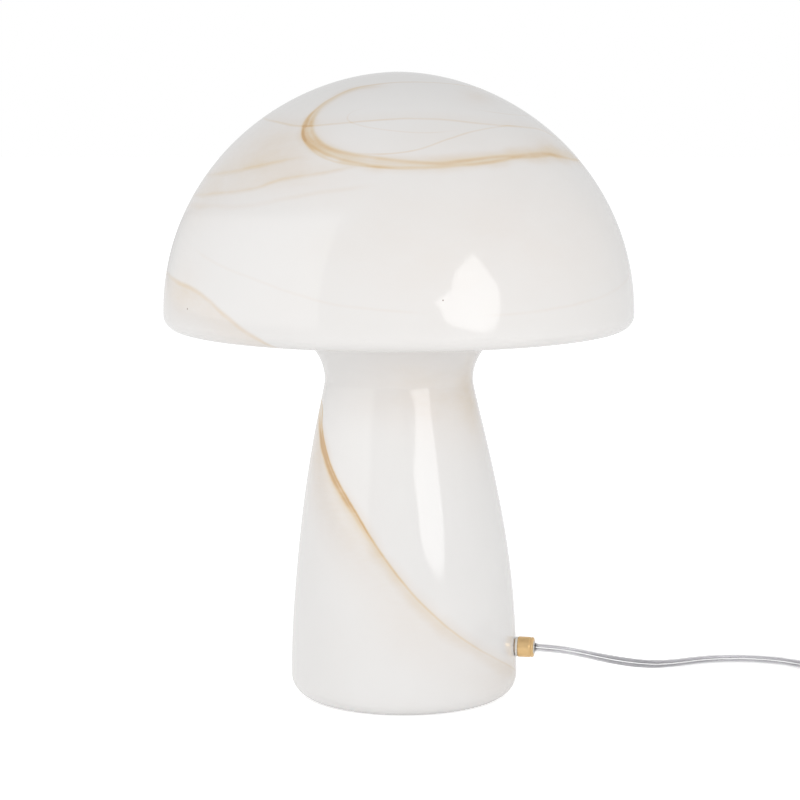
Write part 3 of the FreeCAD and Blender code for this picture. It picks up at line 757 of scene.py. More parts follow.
SWIRLS = (
    Swirl("stem_line", ((-230, 226), (-190, 222), (-150, 217), (-110, 209), (-76, 198), (-67, 186),
          (-56, 172), (-46, 160), (-36, 148), (-27, 136), (-19, 123), (-10, 109), (-2, 96), (5.5, 85),
          (14, 74), (23, 63.5), (35, 52), (48, 42), (65.5, 31), (85, 21), (110, 12), (140, 6)),
          (3.6, 1.8), (0.72, 0.11), 0.36, -46.0, 40.0),
    Swirl("stem_strand", ((-84, 196), (-76, 190), (-67, 180), (-56, 167.5), (-46, 156.5), (-36, 145),
          (-27, 133.5), (-19, 121), (-10, 107.3), (-2, 95), (5.5, 84)), (9.0, 3.2), (0.66, 0.05),
          fade=30.0),
    Swirl("stem_glow", ((-110, 204), (-70, 186), (-46, 158), (-27, 135), (-10, 108.5), (5.5, 84.5),
          (23, 63), (48, 41), (70, 28), (95, 17)), (13.0, 22.0), (0.26, 0.17), fade=30.0),
    Swirl("crown_loop", ((150, 458), (110, 446), (76.5, 447), (66, 450), (53.7, 452.5), (37, 451),
          (25, 448), (18.6, 447), (9, 445.6), (0, 445.6), (-12, 448.6), (-21, 453.5), (-30, 461.5),
          (-36, 470), (-39, 480), (-41.5, 494.5), (-39.6, 510), (-29, 527), (0, 536), (40, 534),
          (80, 522), (115, 505), (150, 492), (185, 486)), (4.8, 4.2), (0.26, 0.32)),
    Swirl("crown_glow", ((90, 447), (66, 451), (53, 453.5), (32, 452), (19, 448.6), (8, 447.2),
          (-12, 450.5), (-21, 456.5), (-29, 463.5), (-34.5, 471), (-37.5, 480), (-40, 494),
          (-38.5, 508), (-29, 525), (0, 534)), (22.0, 14.0), (0.32, 0.28), 0.08, -14.0),
    Swirl("crown_turn", ((-12, 452), (-20, 456), (-29, 463), (-35, 471), (-38, 480), (-40.5, 493),
          (-39, 507), (-31, 522), (-12, 531)), (9.0, 5.0), (0.26, 0.18), fade=34.0),
    Swirl("crown_loop_inner", ((-39.5, 505), (-39, 494), (-36.6, 482), (-31, 470), (-23, 460.5),
          (-10, 454), (9.5, 449), (19, 450.3), (32, 452.7), (42, 453.5), (54.3, 454.3), (66, 452)),
          (5.0, 4.4), (0.27, 0.19)),
    Swirl("crown_loop_outer", ((-42, 500), (-41.8, 487), (-38, 474), (-31, 461), (-22, 451.5),
          (-10, 446.5), (6, 444)), (3.4, 2.4), (0.30, 0.16)),
    Swirl("crown_second", ((-110, 488), (-63.5, 483), (-40, 479), (-23, 482.5), (0, 487), (16, 486.5),
          (32, 482), (51, 478), (68, 474), (78, 465), (84, 455), (90, 448)), (3.2, 3.4), (0.22, 0.24),
          0.09, 12.0),
    Swirl("crown_cross", ((-16, 457), (-6, 456), (5, 459), (17, 468), (30, 475), (46, 479), (60, 477)),
          (2.2, 2.4), (0.24, 0.24)),
    Swirl("crown_hook", ((-14, 500), (-21, 494), (-21, 486), (-14, 480), (-3, 476), (10, 474),
          (24, 476)), (2.0, 2.0), (0.16, 0.14)),
    Swirl("crown_right", ((34, 498), (46, 493), (58, 490), (72, 488), (90, 490)), (2.4, 2.4),
          (0.16, 0.16)),
    Swirl("left_high", ((-100, 433), (-80, 434), (-62, 438), (-45, 446), (-29, 453.5)), (8.0, 5.0),
          (0.12, 0.16), 0.06, 9.0),
    Swirl("left_middle", ((-260, 380), (-230, 372), (-200, 378), (-170, 395), (-140, 409), (-110, 416),
          (-92, 418), (-72, 420.5), (-47, 427), (-34, 436), (-22.5, 441), (-9, 448)), (8.0, 5.0),
          (0.13, 0.15), 0.07, 10.0),
    Swirl("left_low", ((-100, 410), (-73, 413), (-48, 416), (-32, 422), (-21, 428), (-4, 433)),
          (7.0, 6.0), (0.11, 0.08)),
    Swirl("front_trace", ((-62, 388), (-46, 378), (-35, 372), (-18, 361), (-9, 358), (8, 354)),
          (3.4, 3.0), (0.09, 0.09)),
    Swirl("rim_trace", ((18, 352), (38, 354), (58, 359), (76, 366), (100, 380)), (3.4, 3.4),
          (0.08, 0.08)),
    Swirl("band_edge", ((-240, 430), (-210, 420), (-180, 402), (-150, 386), (-120, 374), (-95, 370),
          (-69, 366), (-54, 361), (-44, 350), (-38, 342), (-32, 334.5), (-26, 322)), (5.0, 5.0),
          (0.24, 0.26), 0.20, -34.0, 18.0),
    Swirl("back_stem", ((95, 175), (120, 150), (150, 132), (180, 120), (215, 112), (245, 92),
          (270, 70)), (4.0, 3.0), (0.45, 0.3), 0.16, -24.0, 30.0),
    Swirl("back_hook", ((118, 432), (145, 438), (175, 452), (196, 474), (196, 496), (176, 510),
          (150, 506), (132, 488)), (4.0, 3.0), (0.40, 0.3), 0.08, 9.0),
)

CLOUDS = (
    Cloud(-58, 452, 36, 34, 0.20), Cloud(-40, 458, 26, 22, 0.22), Cloud(-72, 425, 32, 28, 0.17),
    Cloud(-30, 440, 34, 15, 0.14), Cloud(52, 513, 16, 9, 0.22, 20.0), Cloud(20, 470, 44, 14, 0.08),
    Cloud(62, 460, 26, 11, 0.24), Cloud(-64, 362, 26, 20, 0.13), Cloud(66, 205, 14, 28, 0.34),
    Cloud(10, 212, 34, 22, 0.16), Cloud(42, 202, 24, 28, 0.14), Cloud(-40, 125, 28, 36, 0.05),
    Cloud(-66, 160, 16, 28, 0.06), Cloud(60, 26, 26, 10, 0.10), Cloud(0, 60, 36, 20, 0.06),
    Cloud(150, 420, 50, 24, 0.12), Cloud(190, 150, 30, 34, 0.12), Cloud(24, 398, 165, 56, 0.14),
    Cloud(0, 236, 60, 30, 0.05), Cloud(120, 480, 40, 18, 0.12), Cloud(-140, 460, 44, 20, 0.12))

SPECKS = (Speck(-59, 350, 0.8), Speck(10, 362, 0.6))
SEED_BROWN = srgb(120, 96, 78)


@dataclass(frozen=True)
class MarbledGlass(Finish):
    """Opal glass with amber and beige swirls that are kept on the piece's points."""

    specks: tuple[tuple[Point, float], ...]
    opal: Colour = srgb(240, 239, 238)
    pale: Point = (0.985, 0.98, 0.975)
    tones: tuple[tuple[float, Point], ...] = (
        (0.0, EVEN), (0.14, (0.985, 0.96, 0.94)), (0.3, (0.95, 0.89, 0.825)), (0.55, (0.915, 0.79, 0.62)),
        (0.8, (0.85, 0.64, 0.40)), (1.0, (0.74, 0.49, 0.26)))
    waver_noise: Pair = (38.0, 2.0)
    flow_noise: tuple[Any, ...] = (22.0, 4.0, (1.0, 1.0, 2.2), 0.6)
    fibre_noise: tuple[Any, ...] = (160.0, 3.0, (1.0, 1.0, 3.0), 0.6)
    veil_scale: float = 14.0
    ripple_noise: Pair = (9.0, 1.0)
    density: Pair = (0.45, 1.1)
    cloud_flow: Pair = (0.65, 0.5)
    cloud_step: Pair = (0.2, 0.8)
    cloud_fibre: Pair = (0.85, 0.3)
    haze_edge: Pair = (-0.05, 0.06)
    haze_waver: float = 0.04
    cast_share: float = 0.5
    speck_depth: float = 0.8
    rough: Pair = (0.06, 0.05)
    bending: float = 1.5
    ripple: Pair = (0.0005, 0.35)

    def build(self) -> bpy.types.Material:
        """Every swirl adds its line and its one-sided haze. The sum goes through the tones, from opal by
        beige to amber.

        Returns:
            The material.
        """
        shader = Shader(self.name)
        waver = shader.noise(*self.waver_noise) - 0.5
        flow, fibre = shader.noise(*self.flow_noise), shader.noise(*self.fibre_noise)
        density = self.density[0] + flow * self.density[1]
        cloud = shader.parts(shader.attribute("clouds"))[0]
        amount = (cloud * (flow.step(*self.cloud_step) * self.cloud_flow[1] + self.cloud_flow[0])
                  * (self.cloud_fibre[0] + fibre * self.cloud_fibre[1]))
        for swirl in SWIRLS:
            across, side, window = shader.parts(shader.attribute(swirl.name))
            line = abs(across + waver).step(0.0, 1.0, 1.0, 0.0)
            amount = amount + line * window * density * swirl.strength[0]
            if swirl.haze:
                spread = (side + waver * self.haze_waver).step(*self.haze_edge)
                spread = spread * side.step(0.0, 1.0, 1.0, 0.0)
                amount = amount + spread * window * swirl.haze * (0.5 + fibre * 0.5 + flow * 0.5)
        colour = shader.ramp(amount.clamped(), [(at, times(self.opal, *tint)) for at, tint in self.tones])
        veil = shader.noise(self.veil_scale)
        cast = shader.patchy(self.opal, times(self.opal, *self.pale), veil, PATCH_START)
        washed = shader.mix(colour, cast, self.cast_share, "MULTIPLY")
        for middle, radius in self.specks:
            gap = shader.add("VectorMath", {0: shader.place(), 1: middle}, "Value", operation="DISTANCE")
            washed = shader.mix(washed, SEED_BROWN, gap.step(0.5 * radius, radius, self.speck_depth, 0.0))
        return shader.finish(Base_Color=washed, Roughness=self.rough[0] + flow * self.rough[1],
                             IOR=self.bending,
                             Normal=shader.bump(shader.noise(*self.ripple_noise), *self.ripple))


class Tint(Enum):
    """Screen colours of the plain finishes and the floor."""

    BRASS = (243, 206, 150)
    ZINC = (176, 180, 184)
    STEEL = (190, 192, 194)
    NICKEL = (205, 203, 198)
    ALUMINIUM = (214, 216, 218)
    TINNED = (216, 213, 219)
    WHITE_PLASTIC = (232, 231, 227)
    BLACK_RUBBER = (38, 38, 40)
    STEATITE = (226, 221, 210)
    BLACK_GLASS = (26, 26, 28)
    SOFT_CLEAR = (246, 244, 239)
    CLEAR_CASE = (246, 247, 247)
    CLEAR_JACKET = (247, 248, 248)
    FLOOR = (247, 247, 247)

    def colour(self) -> Colour:
        """Linear colour."""
        return srgb(*self.value)


BRASS = Metal("turned_brass", Tint.BRASS.colour(), 0.30, (1.0, 0.12, 0.12), 900.0, 0.000015, 0.18)
ZINC = Metal("zinc_plate", Tint.ZINC.colour(), 0.36, (1.0, 0.2, 1.0), 260.0, 0.00001, 0.2)
STEEL = Metal("bright_steel", Tint.STEEL.colour(), 0.28, (1.0, 1.0, 0.2), 600.0, 0.00001, 0.12)
NICKEL = Metal("nickel_pins", Tint.NICKEL.colour(), 0.22, (1.0, 0.15, 1.0), 800.0, 0.000008, 0.1)
ALUMINIUM = Metal("rolled_aluminium", Tint.ALUMINIUM.colour(), 0.34, (1.0, 1.0, 3.0), 400.0, 0.00001, 0.12)
WHITE_PLASTIC = Moulded("white_plastic", Tint.WHITE_PLASTIC.colour(), 0.34, 700.0, 0.00002, 0.05)
BLACK_RUBBER = Moulded("black_rubber", Tint.BLACK_RUBBER.colour(), 0.72, 500.0, 0.00005, 0.25)
STEATITE = Moulded("steatite", Tint.STEATITE.colour(), 0.5, 420.0, 0.00004, 0.08)
BLACK_GLASS = Moulded("black_glass", Tint.BLACK_GLASS.colour(), 0.12, 90.0, 0.00002, 0.3)
SOFT_CLEAR = Clear("soft_clear_seal", Tint.SOFT_CLEAR.colour(), 0.35, 0.18)
CLEAR_CASE = Clear("clear_case", Tint.CLEAR_CASE.colour(), 0.10, 0.82)
CLEAR_JACKET = Clear("clear_jacket", Tint.CLEAR_JACKET.colour(), 0.07, 0.94, 0.00002)
TINNED = Strands("tinned_strands", Tint.TINNED.colour())
BULB_OPAL = OpalGlow("bulb_opal")


# --- studio -------------------------------------------------------------------------------
@dataclass(frozen=True)
class SoftPanel:
    """A soft fill that stands round the lamp and doesn't show in the glass. Sizes in millimetres, turn in
    degrees right of the front."""

    name: str
    turn: float
    distance: float
    size: Pair
    middle: float
    level: float

    def build(self) -> None:
        """Makes the panel, with power = level * pi * area."""
        data = bpy.data.lights.new(self.name, "AREA")
        data.shape = "RECTANGLE"
        data.size, data.size_y = (length * MM for length in self.size)
        data.energy = self.level * math.pi * data.size * data.size_y
        panel = placed(self.name, data)
        panel.location = out_from(self.turn, self.distance, self.middle) * MM
        panel.rotation_euler = (math.radians(90.0), 0.0, math.radians(self.turn))
        panel.visible_glossy = panel.visible_camera = False


@dataclass
class Studio:
    """Camera, floor, background and soft lights. Sizes in millimetres."""

    camera_place: Point = (-2.65, -1538.0, 405.5)
    camera_dip: float = 7.93
    focal_pixels: float = 2413.0
    frame_pixels: float = 800.0
    sensor: float = 36.0
    far_clip: float = 60000.0
    floor_half: float = 9000.0
    floor_glow: Pair = (0.10, 0.40)
    ambient: float = 0.65
    gloss_share: float = 0.3
    box_turn: float = 36.0
    box_distance: float = 1600.0
    box_level: float = 3.65
    box_outline: tuple[Pair, ...] = (
        (68, 1170), (210, 890), (336, 618), (330, 460), (314, 331), (237, 176), (80, 132), (-71, 154),
        (-260, 205), (-427, 273), (-489, 466), (-587, 526), (-323, 674), (-249, 917))
    panels: tuple[SoftPanel, ...] = (
        SoftPanel("left_fill", -75.0, 1900.0, (2500.0, 1500.0), 760.0, 0.85),
        SoftPanel("front_fill", 0.0, 3200.0, (3000.0, 2000.0), 1200.0, 0.62))
    screen_turns: Pair = (-168.0, -37.0)
    screen_low: float = 170.0
    screen_tops: Pair = (220.0, 2640.0)
    screen_distance: float = 1900.0
    screen_level: float = 1.6
    screen_back_fade: float = 95.0
    screen_top_fade: float = 0.86
    screen_grid: tuple[int, int] = (40, 16)

    def camera(self) -> None:
        """Camera at the photograph's own place: lens = sensor * focal length in pixels / frame."""
        data = bpy.data.cameras.new("view")
        data.sensor_width = self.sensor
        data.lens = self.sensor * self.focal_pixels / self.frame_pixels
        data.clip_end = self.far_clip * MM
        camera = placed("view", data)
        camera.location = [c * MM for c in self.camera_place]
        camera.rotation_euler = (math.radians(90.0 - self.camera_dip), 0.0, 0.0)
        bpy.context.scene.camera = camera

    def seen_white(self, shader: Shader) -> Wire:
        """How much of the white background a ray sees: camera + transmission + gloss_share * glossy.

        Glossy rays see only a share, because the photo's glass shows surroundings that are greyer than its
        white background.

        Args:
            shader: The material or world that asks.

        Returns:
            A share from 0 to 1.
        """
        path = shader.add("LightPath", output="Is Camera Ray")
        return (path + path.beside("Is Transmission Ray")
                + path.beside("Is Glossy Ray") * self.gloss_share).clamped()

    def world(self) -> None:
        """Even pale light from all round, shown as white where it is looked at."""
        shader = Shader(bpy.data.worlds.new("studio"))
        strength = self.seen_white(shader) * (1.0 - self.ambient) + self.ambient
        shader.close(shader.add("Background", {"Color": WHITE, "Strength": strength}))
        bpy.context.scene.world = shader.made

    def floor(self) -> None:
        """Plain pale floor that keeps the lamp's shadow."""
        half = (-self.floor_half, self.floor_half)
        floor = sheet("floor", np.array([(*corner, 0.0) for corner in rectangle(half, half)]), [range(4)])
        shader = Shader("pale_floor")
        plain = shader.add("BsdfDiffuse", {"Color": Tint.FLOOR.colour()})
        strength = self.seen_white(shader) * self.floor_glow[1] + self.floor_glow[0]
        lift = shader.add("Emission", {"Color": WHITE, "Strength": strength})
        floor.data.materials.append(shader.close(shader.add("AddShader", {0: plain, 1: lift})))

    def glowing(self, name: str, points: Array, faces: Sequence[Sequence[int]], level: float,
                fade: Array | None = None) -> Object:
        """Sheet that gives light and isn't seen by the camera.

        Args:
            name: Name of the sheet.
            points: Its points in millimetres.
            faces: Its faces.
            level: How bright it is.
            fade: Share of the brightness at each point.

        Returns:
            The sheet.
        """
        made = sheet(name, points, faces)
        made.visible_camera = made.visible_shadow = False
        shader = Shader(name)
        colour: Any = WHITE
        if fade is not None:
            keep_vectors(made.data, "fade", np.repeat(fade, 3))
            colour = shader.attribute("fade")
        made.data.materials.append(shader.close(shader.add("Emission", {"Color": colour, "Strength": level})))
        return made

    def soft_box(self) -> None:
        """The pale shape that shows in the glass at the front right, square to its own direction."""
        outline = np.array(self.box_outline, float)
        side = out_from(self.box_turn + 90.0, 1.0, 0.0)
        points = out_from(self.box_turn, self.box_distance, 0.0) + outline[:, :1] * side + outline[:, 1:] * UP
        self.glowing("soft_box", points, [range(len(points))], self.box_level)

    def screen(self) -> None:
        """Bent screen on the left, which shows as the paler patch on the dome. Its top slopes down to the
        back, and its light fades to the surroundings at the back and the top."""
        columns, rows = self.screen_grid
        turn, rise = np.meshgrid(np.linspace(*self.screen_turns, columns), np.linspace(0.0, 1.0, rows))
        tops = np.interp(turn, self.screen_turns, self.screen_tops)
        points = out_from(turn, self.screen_distance, self.screen_low + rise * (tops - self.screen_low))
        back = self.screen_turns[0]
        fade = smooth(back, back + self.screen_back_fade, turn)
        fade *= 1 - smooth(self.screen_top_fade, 1.0, rise)
        surrounding = self.ambient / self.screen_level
        share = surrounding + (1 - surrounding) * fade
        index = np.arange(turn.size).reshape(turn.shape)
        faces = np.stack([index[:-1, :-1], index[:-1, 1:], index[1:, 1:], index[1:, :-1]], -1).reshape(-1, 4)
        made = self.glowing("left_screen", points.reshape(-1, 3), faces.tolist(), self.screen_level,
                            share.ravel())
        made.visible_diffuse = False

    def build(self) -> None:
        """Sets the whole studio up."""
        self.camera()
        self.world()
        self.floor()
        self.soft_box()
        self.screen()
        for panel in self.panels:
            panel.build()
        bpy.context.scene.view_settings.view_transform = "Standard"


# --- glass --------------------------------------------------------------------------------
@dataclass
class GlassBody:
    """The blown body: dome, rolled rim, underside, neck, stem and foot in one. Sizes in millimetres."""

    wall: float = 4.0
    dome_radius: float = 150.0
    dome_rise: float = 152.6
    side_power: float = 1.894
    top_power: float = 2.032
    rim_level: float = 248.0
    rim_round: float = 8.9
    neck_radius: float = 47.5
    neck_level: float = 205.0
    flare_round: float = 32.0
    stem_belly: float = 100.0
    stem_waist: float = 9.0
    foot_radius: float = 73.3
    foot_round: float = 12.3
    mouth_radius: float = 54.0
    ledge: Pair = (3.5, 2.2)
    lip_round: float = 0.35
    lean: float = -3.5
    lean_levels: Pair = (60.0, 210.0)
    hand: float = 0.22
    hand_waves: tuple[tuple[float, ...], ...] = ((2, 90, 1.3, 1.0), (3, -60, 0.0, 0.6), (5, 37, 0.0, 0.4))
    hand_levels: Pair = (25.0, 90.0)
    hand_centre: float = 25.0
    columns: int = 240
    fine_counts: tuple[int, ...] = (40, 200, 60, 4, 40, 420)
    outer_counts: tuple[int, ...] = (14, 66, 22, 5, 20, 128)
    inner_counts: tuple[int, ...] = (8, 32, 12, 3, 10, 46)
    swirl_samples: int = 260
    swirl_halo: Pair = (4.0, 1.4)
    strength_span: Pair = (0.1, 0.9)
    line_limit: float = 8.0
    haze_limit: float = 3.0
    no_haze: float = 1e6
    cloud_depth: float = 60.0
    stations: Array = field(init=False)
    line: Array = field(init=False)

    def __post_init__(self) -> None:
        """Works out the outside line and the length along it."""
        self.line = self.side(0.0, self.fine_counts)
        self.stations = run_lengths(self.line)

    def side(self, inset: float, counts: tuple[int, ...]) -> Array:
        """Line of (radius, height) from the foot's ring to the crown, moved inwards by inset.

        Formula: foot arc, stem cubic, flare arc, the common tangent of flare and rim, rim arc, and the
        crown x = a |cos t| ** (2 / m), z = level + b sin(t) ** (2 / n).

        Args:
            inset: How far inside the outside surface.
            counts: Points on each of the six stretches.

        Returns:
            Points as rows.
        """
        curl = (self.foot_radius - self.foot_round, self.foot_round)
        foot = arc(curl, self.foot_round - inset, -90, 0, counts[0])
        start = np.array([self.foot_radius - inset, self.foot_round])
        neck = np.array([self.neck_radius - inset, self.neck_level])
        stem = bezier([start, start + [0, self.stem_belly], neck - [0, self.stem_waist], neck], counts[1])
        flare, rim = self.flare_round + inset, self.rim_round - inset
        middle = np.array([self.neck_radius + self.flare_round, self.neck_level])
        rim_middle = np.array([self.dome_radius - self.rim_round, self.rim_level])
        run = rim_middle - middle
        tilt = math.degrees(math.atan2(run[1], run[0]) - math.asin((flare + rim) / math.hypot(*run)))
        turn = arc(middle, flare, 180, 90 + tilt, counts[2])
        roll = arc(rim_middle, rim, -90 + tilt, 0, counts[4])
        share = np.linspace(0, 1, counts[3])[1:-1, None]
        under = turn[-1] * (1 - share) + roll[0] * share
        t = np.linspace(0, math.pi / 2, counts[5])
        x = (self.dome_radius - inset) * np.clip(np.cos(t), 0, 1) ** (2 / self.side_power)
        z = self.rim_level + (self.dome_rise - inset) * np.sin(t) ** (2 / self.top_power)
        crown = np.stack([x, z], axis=1)
        crown[-1, 0] = 0.0
        return np.concatenate([foot, stem[1:], turn[1:], under, roll, crown[1:]])

    def axis_shift(self, height: Array) -> Array:
        """How far the hand-blown body leans to the left at a height."""
        return self.lean * smooth(*self.lean_levels, height)

    def on_glass(self, turn: Array, station: Array) -> tuple[Array, Array]:
        """Points and outward normals on the outside.

        Args:
            turn: Degrees to the right of the front.
            station: Length along the outside line.

        Returns:
            Points and unit normals.
        """
        radius, height = (np.interp(station, self.stations, self.line[:, k]) for k in (0, 1))
        slope_r, slope_z = (np.interp(station, self.stations, np.gradient(self.line[:, k], self.stations))
                            for k in (0, 1))
        points, normals = out_from(turn, radius, height), out_from(turn, slope_z, -slope_r)
        points[..., 0] += self.axis_shift(height)
        return points, unit(normals)

    def swirl_field(self, swirl: Swirl, points: Array) -> Array:
        """Where each point lies to a swirl.

        Formula: with p the nearest of the swirl's samples, t its direction and n the glass's normal,
        across = (v - p) . (n x t) gives the side and |v - p| off t the size. The field is across over half
        the line's width, across over the haze's reach, and a window that fades at the swirl's ends and holds
        how the strength changes on the way.

        Args:
            swirl: The swirl.
            points: The piece's points.

        Returns:
            One row of three numbers for each point.
        """
        path = smooth_path(swirl.path, self.swirl_samples)
        line, normal = self.on_glass(path[:, 0], path[:, 1])
        tangent = unit(np.gradient(line, axis=0))
        along = run_lengths(line)
        distance = (points ** 2).sum(1)[:, None] + (line ** 2).sum(1)[None] - 2 * points @ line.T
        near = distance.argmin(axis=1)
        offset = points - line[near]
        forward = (offset * tangent[near]).sum(1)
        side = (offset * np.cross(normal[near], tangent[near])).sum(1)
        size = np.linalg.norm(offset - forward[:, None] * tangent[near], axis=1)
        across, place = np.where(side < 0, -size, size), along[near] + forward
        share = np.clip(place / along[-1], 0, 1)
        half = 0.5 * (swirl.width[0] + (swirl.width[1] - swirl.width[0]) * share)
        halo, halo_fade = self.swirl_halo
        limit = max(abs(swirl.reach), 2 * max(swirl.width)) + halo
        window = smooth(0, swirl.fade, place) * (1 - smooth(along[-1] - swirl.fade, along[-1], place))
        window *= 1 - smooth(limit, halo_fade * limit, size)
        window *= 1 + (swirl.strength[1] / swirl.strength[0] - 1) * smooth(*self.strength_span, share)
        return np.stack([np.clip(across / half, -self.line_limit, self.line_limit),
                         np.clip(across / (swirl.reach or self.no_haze), -self.haze_limit, self.haze_limit),
                         window], axis=1)

    def cloud_field(self, points: Array) -> Array:
        """Sum of the soft patches.

        Formula: strength * exp(-(x / across)^2 - (y / along)^2 - (z / depth)^2), with x to the right of a
        patch's middle on the glass, y towards the crown, both turned by its tilt, and z out of the glass.

        Args:
            points: The piece's points.

        Returns:
            One row of three equal numbers for each point.
        """
        total = np.zeros(len(points))
        for cloud in CLOUDS:
            middle, normal = self.on_glass(cloud.turn, cloud.station)
            right = out_from(cloud.turn + 90.0, 1.0, 0.0)
            offset, tilt = points - middle, math.radians(cloud.tilt)
            x, y, deep = offset @ right, offset @ np.cross(normal, right), offset @ normal
            x, y = x * math.cos(tilt) + y * math.sin(tilt), y * math.cos(tilt) - x * math.sin(tilt)
            total += cloud.strength * np.exp(-(x / cloud.across) ** 2 - (y / cloud.along) ** 2
                                             - (deep / self.cloud_depth) ** 2)
        return np.repeat(total[:, None], 3, axis=1)

    def rows(self) -> Array:
        """Closed line from the inside of the crown, round the foot's ring, to the crown's outside, turned.

        Formula: P(i, a) = ((r_i + h) sin a + lean(z_i), -(r_i + h) cos a, z_i), with h the hand's unevenness,
        h = hand * sum(size sin(k a + z / length + start)) * w(z) * r / (r + centre).

        Returns:
            Points as (row, column, xyz).
        """
        inside = self.side(self.wall, self.inner_counts)[::-1]
        depth, step = self.ledge
        flat, ledge = self.foot_radius - self.foot_round, self.mouth_radius + depth
        lip = rounded([(flat, self.wall), (self.mouth_radius, self.wall), (self.mouth_radius, step),
                       (ledge, step), (ledge, 0.0), (flat, 0.0)], self.lip_round, False, 3)
        line = np.concatenate([inside[1:-1], lip[:-1], self.side(0.0, self.outer_counts)[:-1]])
        angle = round_angles(self.columns)[None, :]
        radius, height = line[:, :1], line[:, 1:]
        waves = sum(size * np.sin(k * angle + height / length + start)
                    for k, length, start, size in self.hand_waves)
        uneven = self.hand * waves * smooth(*self.hand_levels, height) * radius / (radius + self.hand_centre)
        points = out_from(np.degrees(angle), radius + uneven, height + 0 * angle)
        points[..., 0] += self.axis_shift(height)
        return points

    def build(self) -> Object:
        """Makes the body and keeps its swirls on its points.

        Returns:
            The body.
        """
        body = surface("opal_body", self.rows())
        points = read_points(body.data)
        for swirl in SWIRLS:
            keep_vectors(body.data, swirl.name, self.swirl_field(swirl, points))
        keep_vectors(body.data, "clouds", self.cloud_field(points))
        seeds = [(self.on_glass(speck.turn, speck.station)[0] * MM, speck.radius * MM) for speck in SPECKS]
        finish = MarbledGlass("marbled_opal", tuple((tuple(spot.tolist()), radius) for spot, radius in seeds))
        return keep_piece(body, "glass", finish, "opal_glass", "glass_body")


# --- cord gland ---------------------------------------------------------------------------
@dataclass
class CordGland:
    """Brass cord grip low on the foot's right side. Sizes in millimetres.

    The collar's steps are points of its outside: how far in from its radius, and how far back from its end.
    The edges' radii, their points and the columns are those of the collar, the seal and the bush.
    """

    turn: float = -10.0
    level: float = 32.0
    wall_outside: float = 73.35
    seal_thick: float = 1.7
    seal_radius: float = 6.4
    seal_bore: float = 5.15
    collar_radius: float = 6.6
    collar_length: float = 10.2
    collar_steps: tuple[Pair, ...] = ((0.3, 10.2), (0.0, 9.85), (0.0, 2.5), (0.35, 2.2), (0.35, 1.9),
                                      (0.12, 1.6), (0.12, 0.65), (0.75, 0.0))
    mouth: Pair = (0.3, 0.4)
    bush_radius: float = 4.2
    bush_bore: float = 3.0
    bush_gap: float = 0.05
    bush_proud: float = 0.6
    tube_start: float = 58.4
    tube_radii: Pair = (3.6, 5.0)
    tube_in_collar: float = 5.0
    edges: Point = (0.18, 0.6, 0.5)
    edge_points: tuple[int, int, int] = (4, 6, 5)
    columns: tuple[int, int, int] = (96, 72, 56)

    def build(self) -> None:
        """Makes the seal, the collar with its turned step, the bush and the threaded tube."""
        turn = math.radians(self.turn)
        axis = Axis((0.0, 0.0, self.level), (math.cos(turn), math.sin(turn), 0.0), (0.0, 0.0, 1.0))
        start = self.wall_outside + self.seal_thick
        end, tube_end = start + self.collar_length, start + self.tube_in_collar
        bore = self.bush_radius + self.bush_gap
        widen, deepen = self.mouth
        steps = [(self.collar_radius - inset, end - back) for inset, back in self.collar_steps]
        collar = [(bore, start), *steps, (bore + widen, end), (bore, end - deepen)]
        seal = rectangle((self.seal_bore, self.seal_radius), (self.wall_outside, start))
        bush = rectangle((self.bush_bore, self.bush_radius), (tube_end, end + self.bush_proud))
        shapes = (("grip_collar", collar, BRASS, "brass", "gland_collar"),
                  ("grip_seal", seal, SOFT_CLEAR, "clear_seal", "gland_seal"),
                  ("grip_bush", bush, SOFT_CLEAR, "clear_seal", "gland_bush"))
        for shape, edge, points, columns in zip(shapes, self.edges, self.edge_points, self.columns):
            name, outline, finish, slot, node = shape
            made = turned(name, rounded(outline, edge, True, points), columns, True, axis)
            keep_piece(made, "glass", finish, slot, node)
        tube = threaded("grip_tube", self.tube_radii, (self.tube_start, tube_end), axis=axis)
        keep_piece(tube, "glass", BRASS, "brass", "gland_tube")
        dress(BRASS, "gland_nut")
        dress(BLACK_RUBBER, "gland_inner_seal")


# --- cords --------------------------------------------------------------------------------
class Ends(Enum):
    """What stands on a cord's far end."""

    SWITCH = "fitting"
    PLUG = "plug"
    HOLDER = "object"


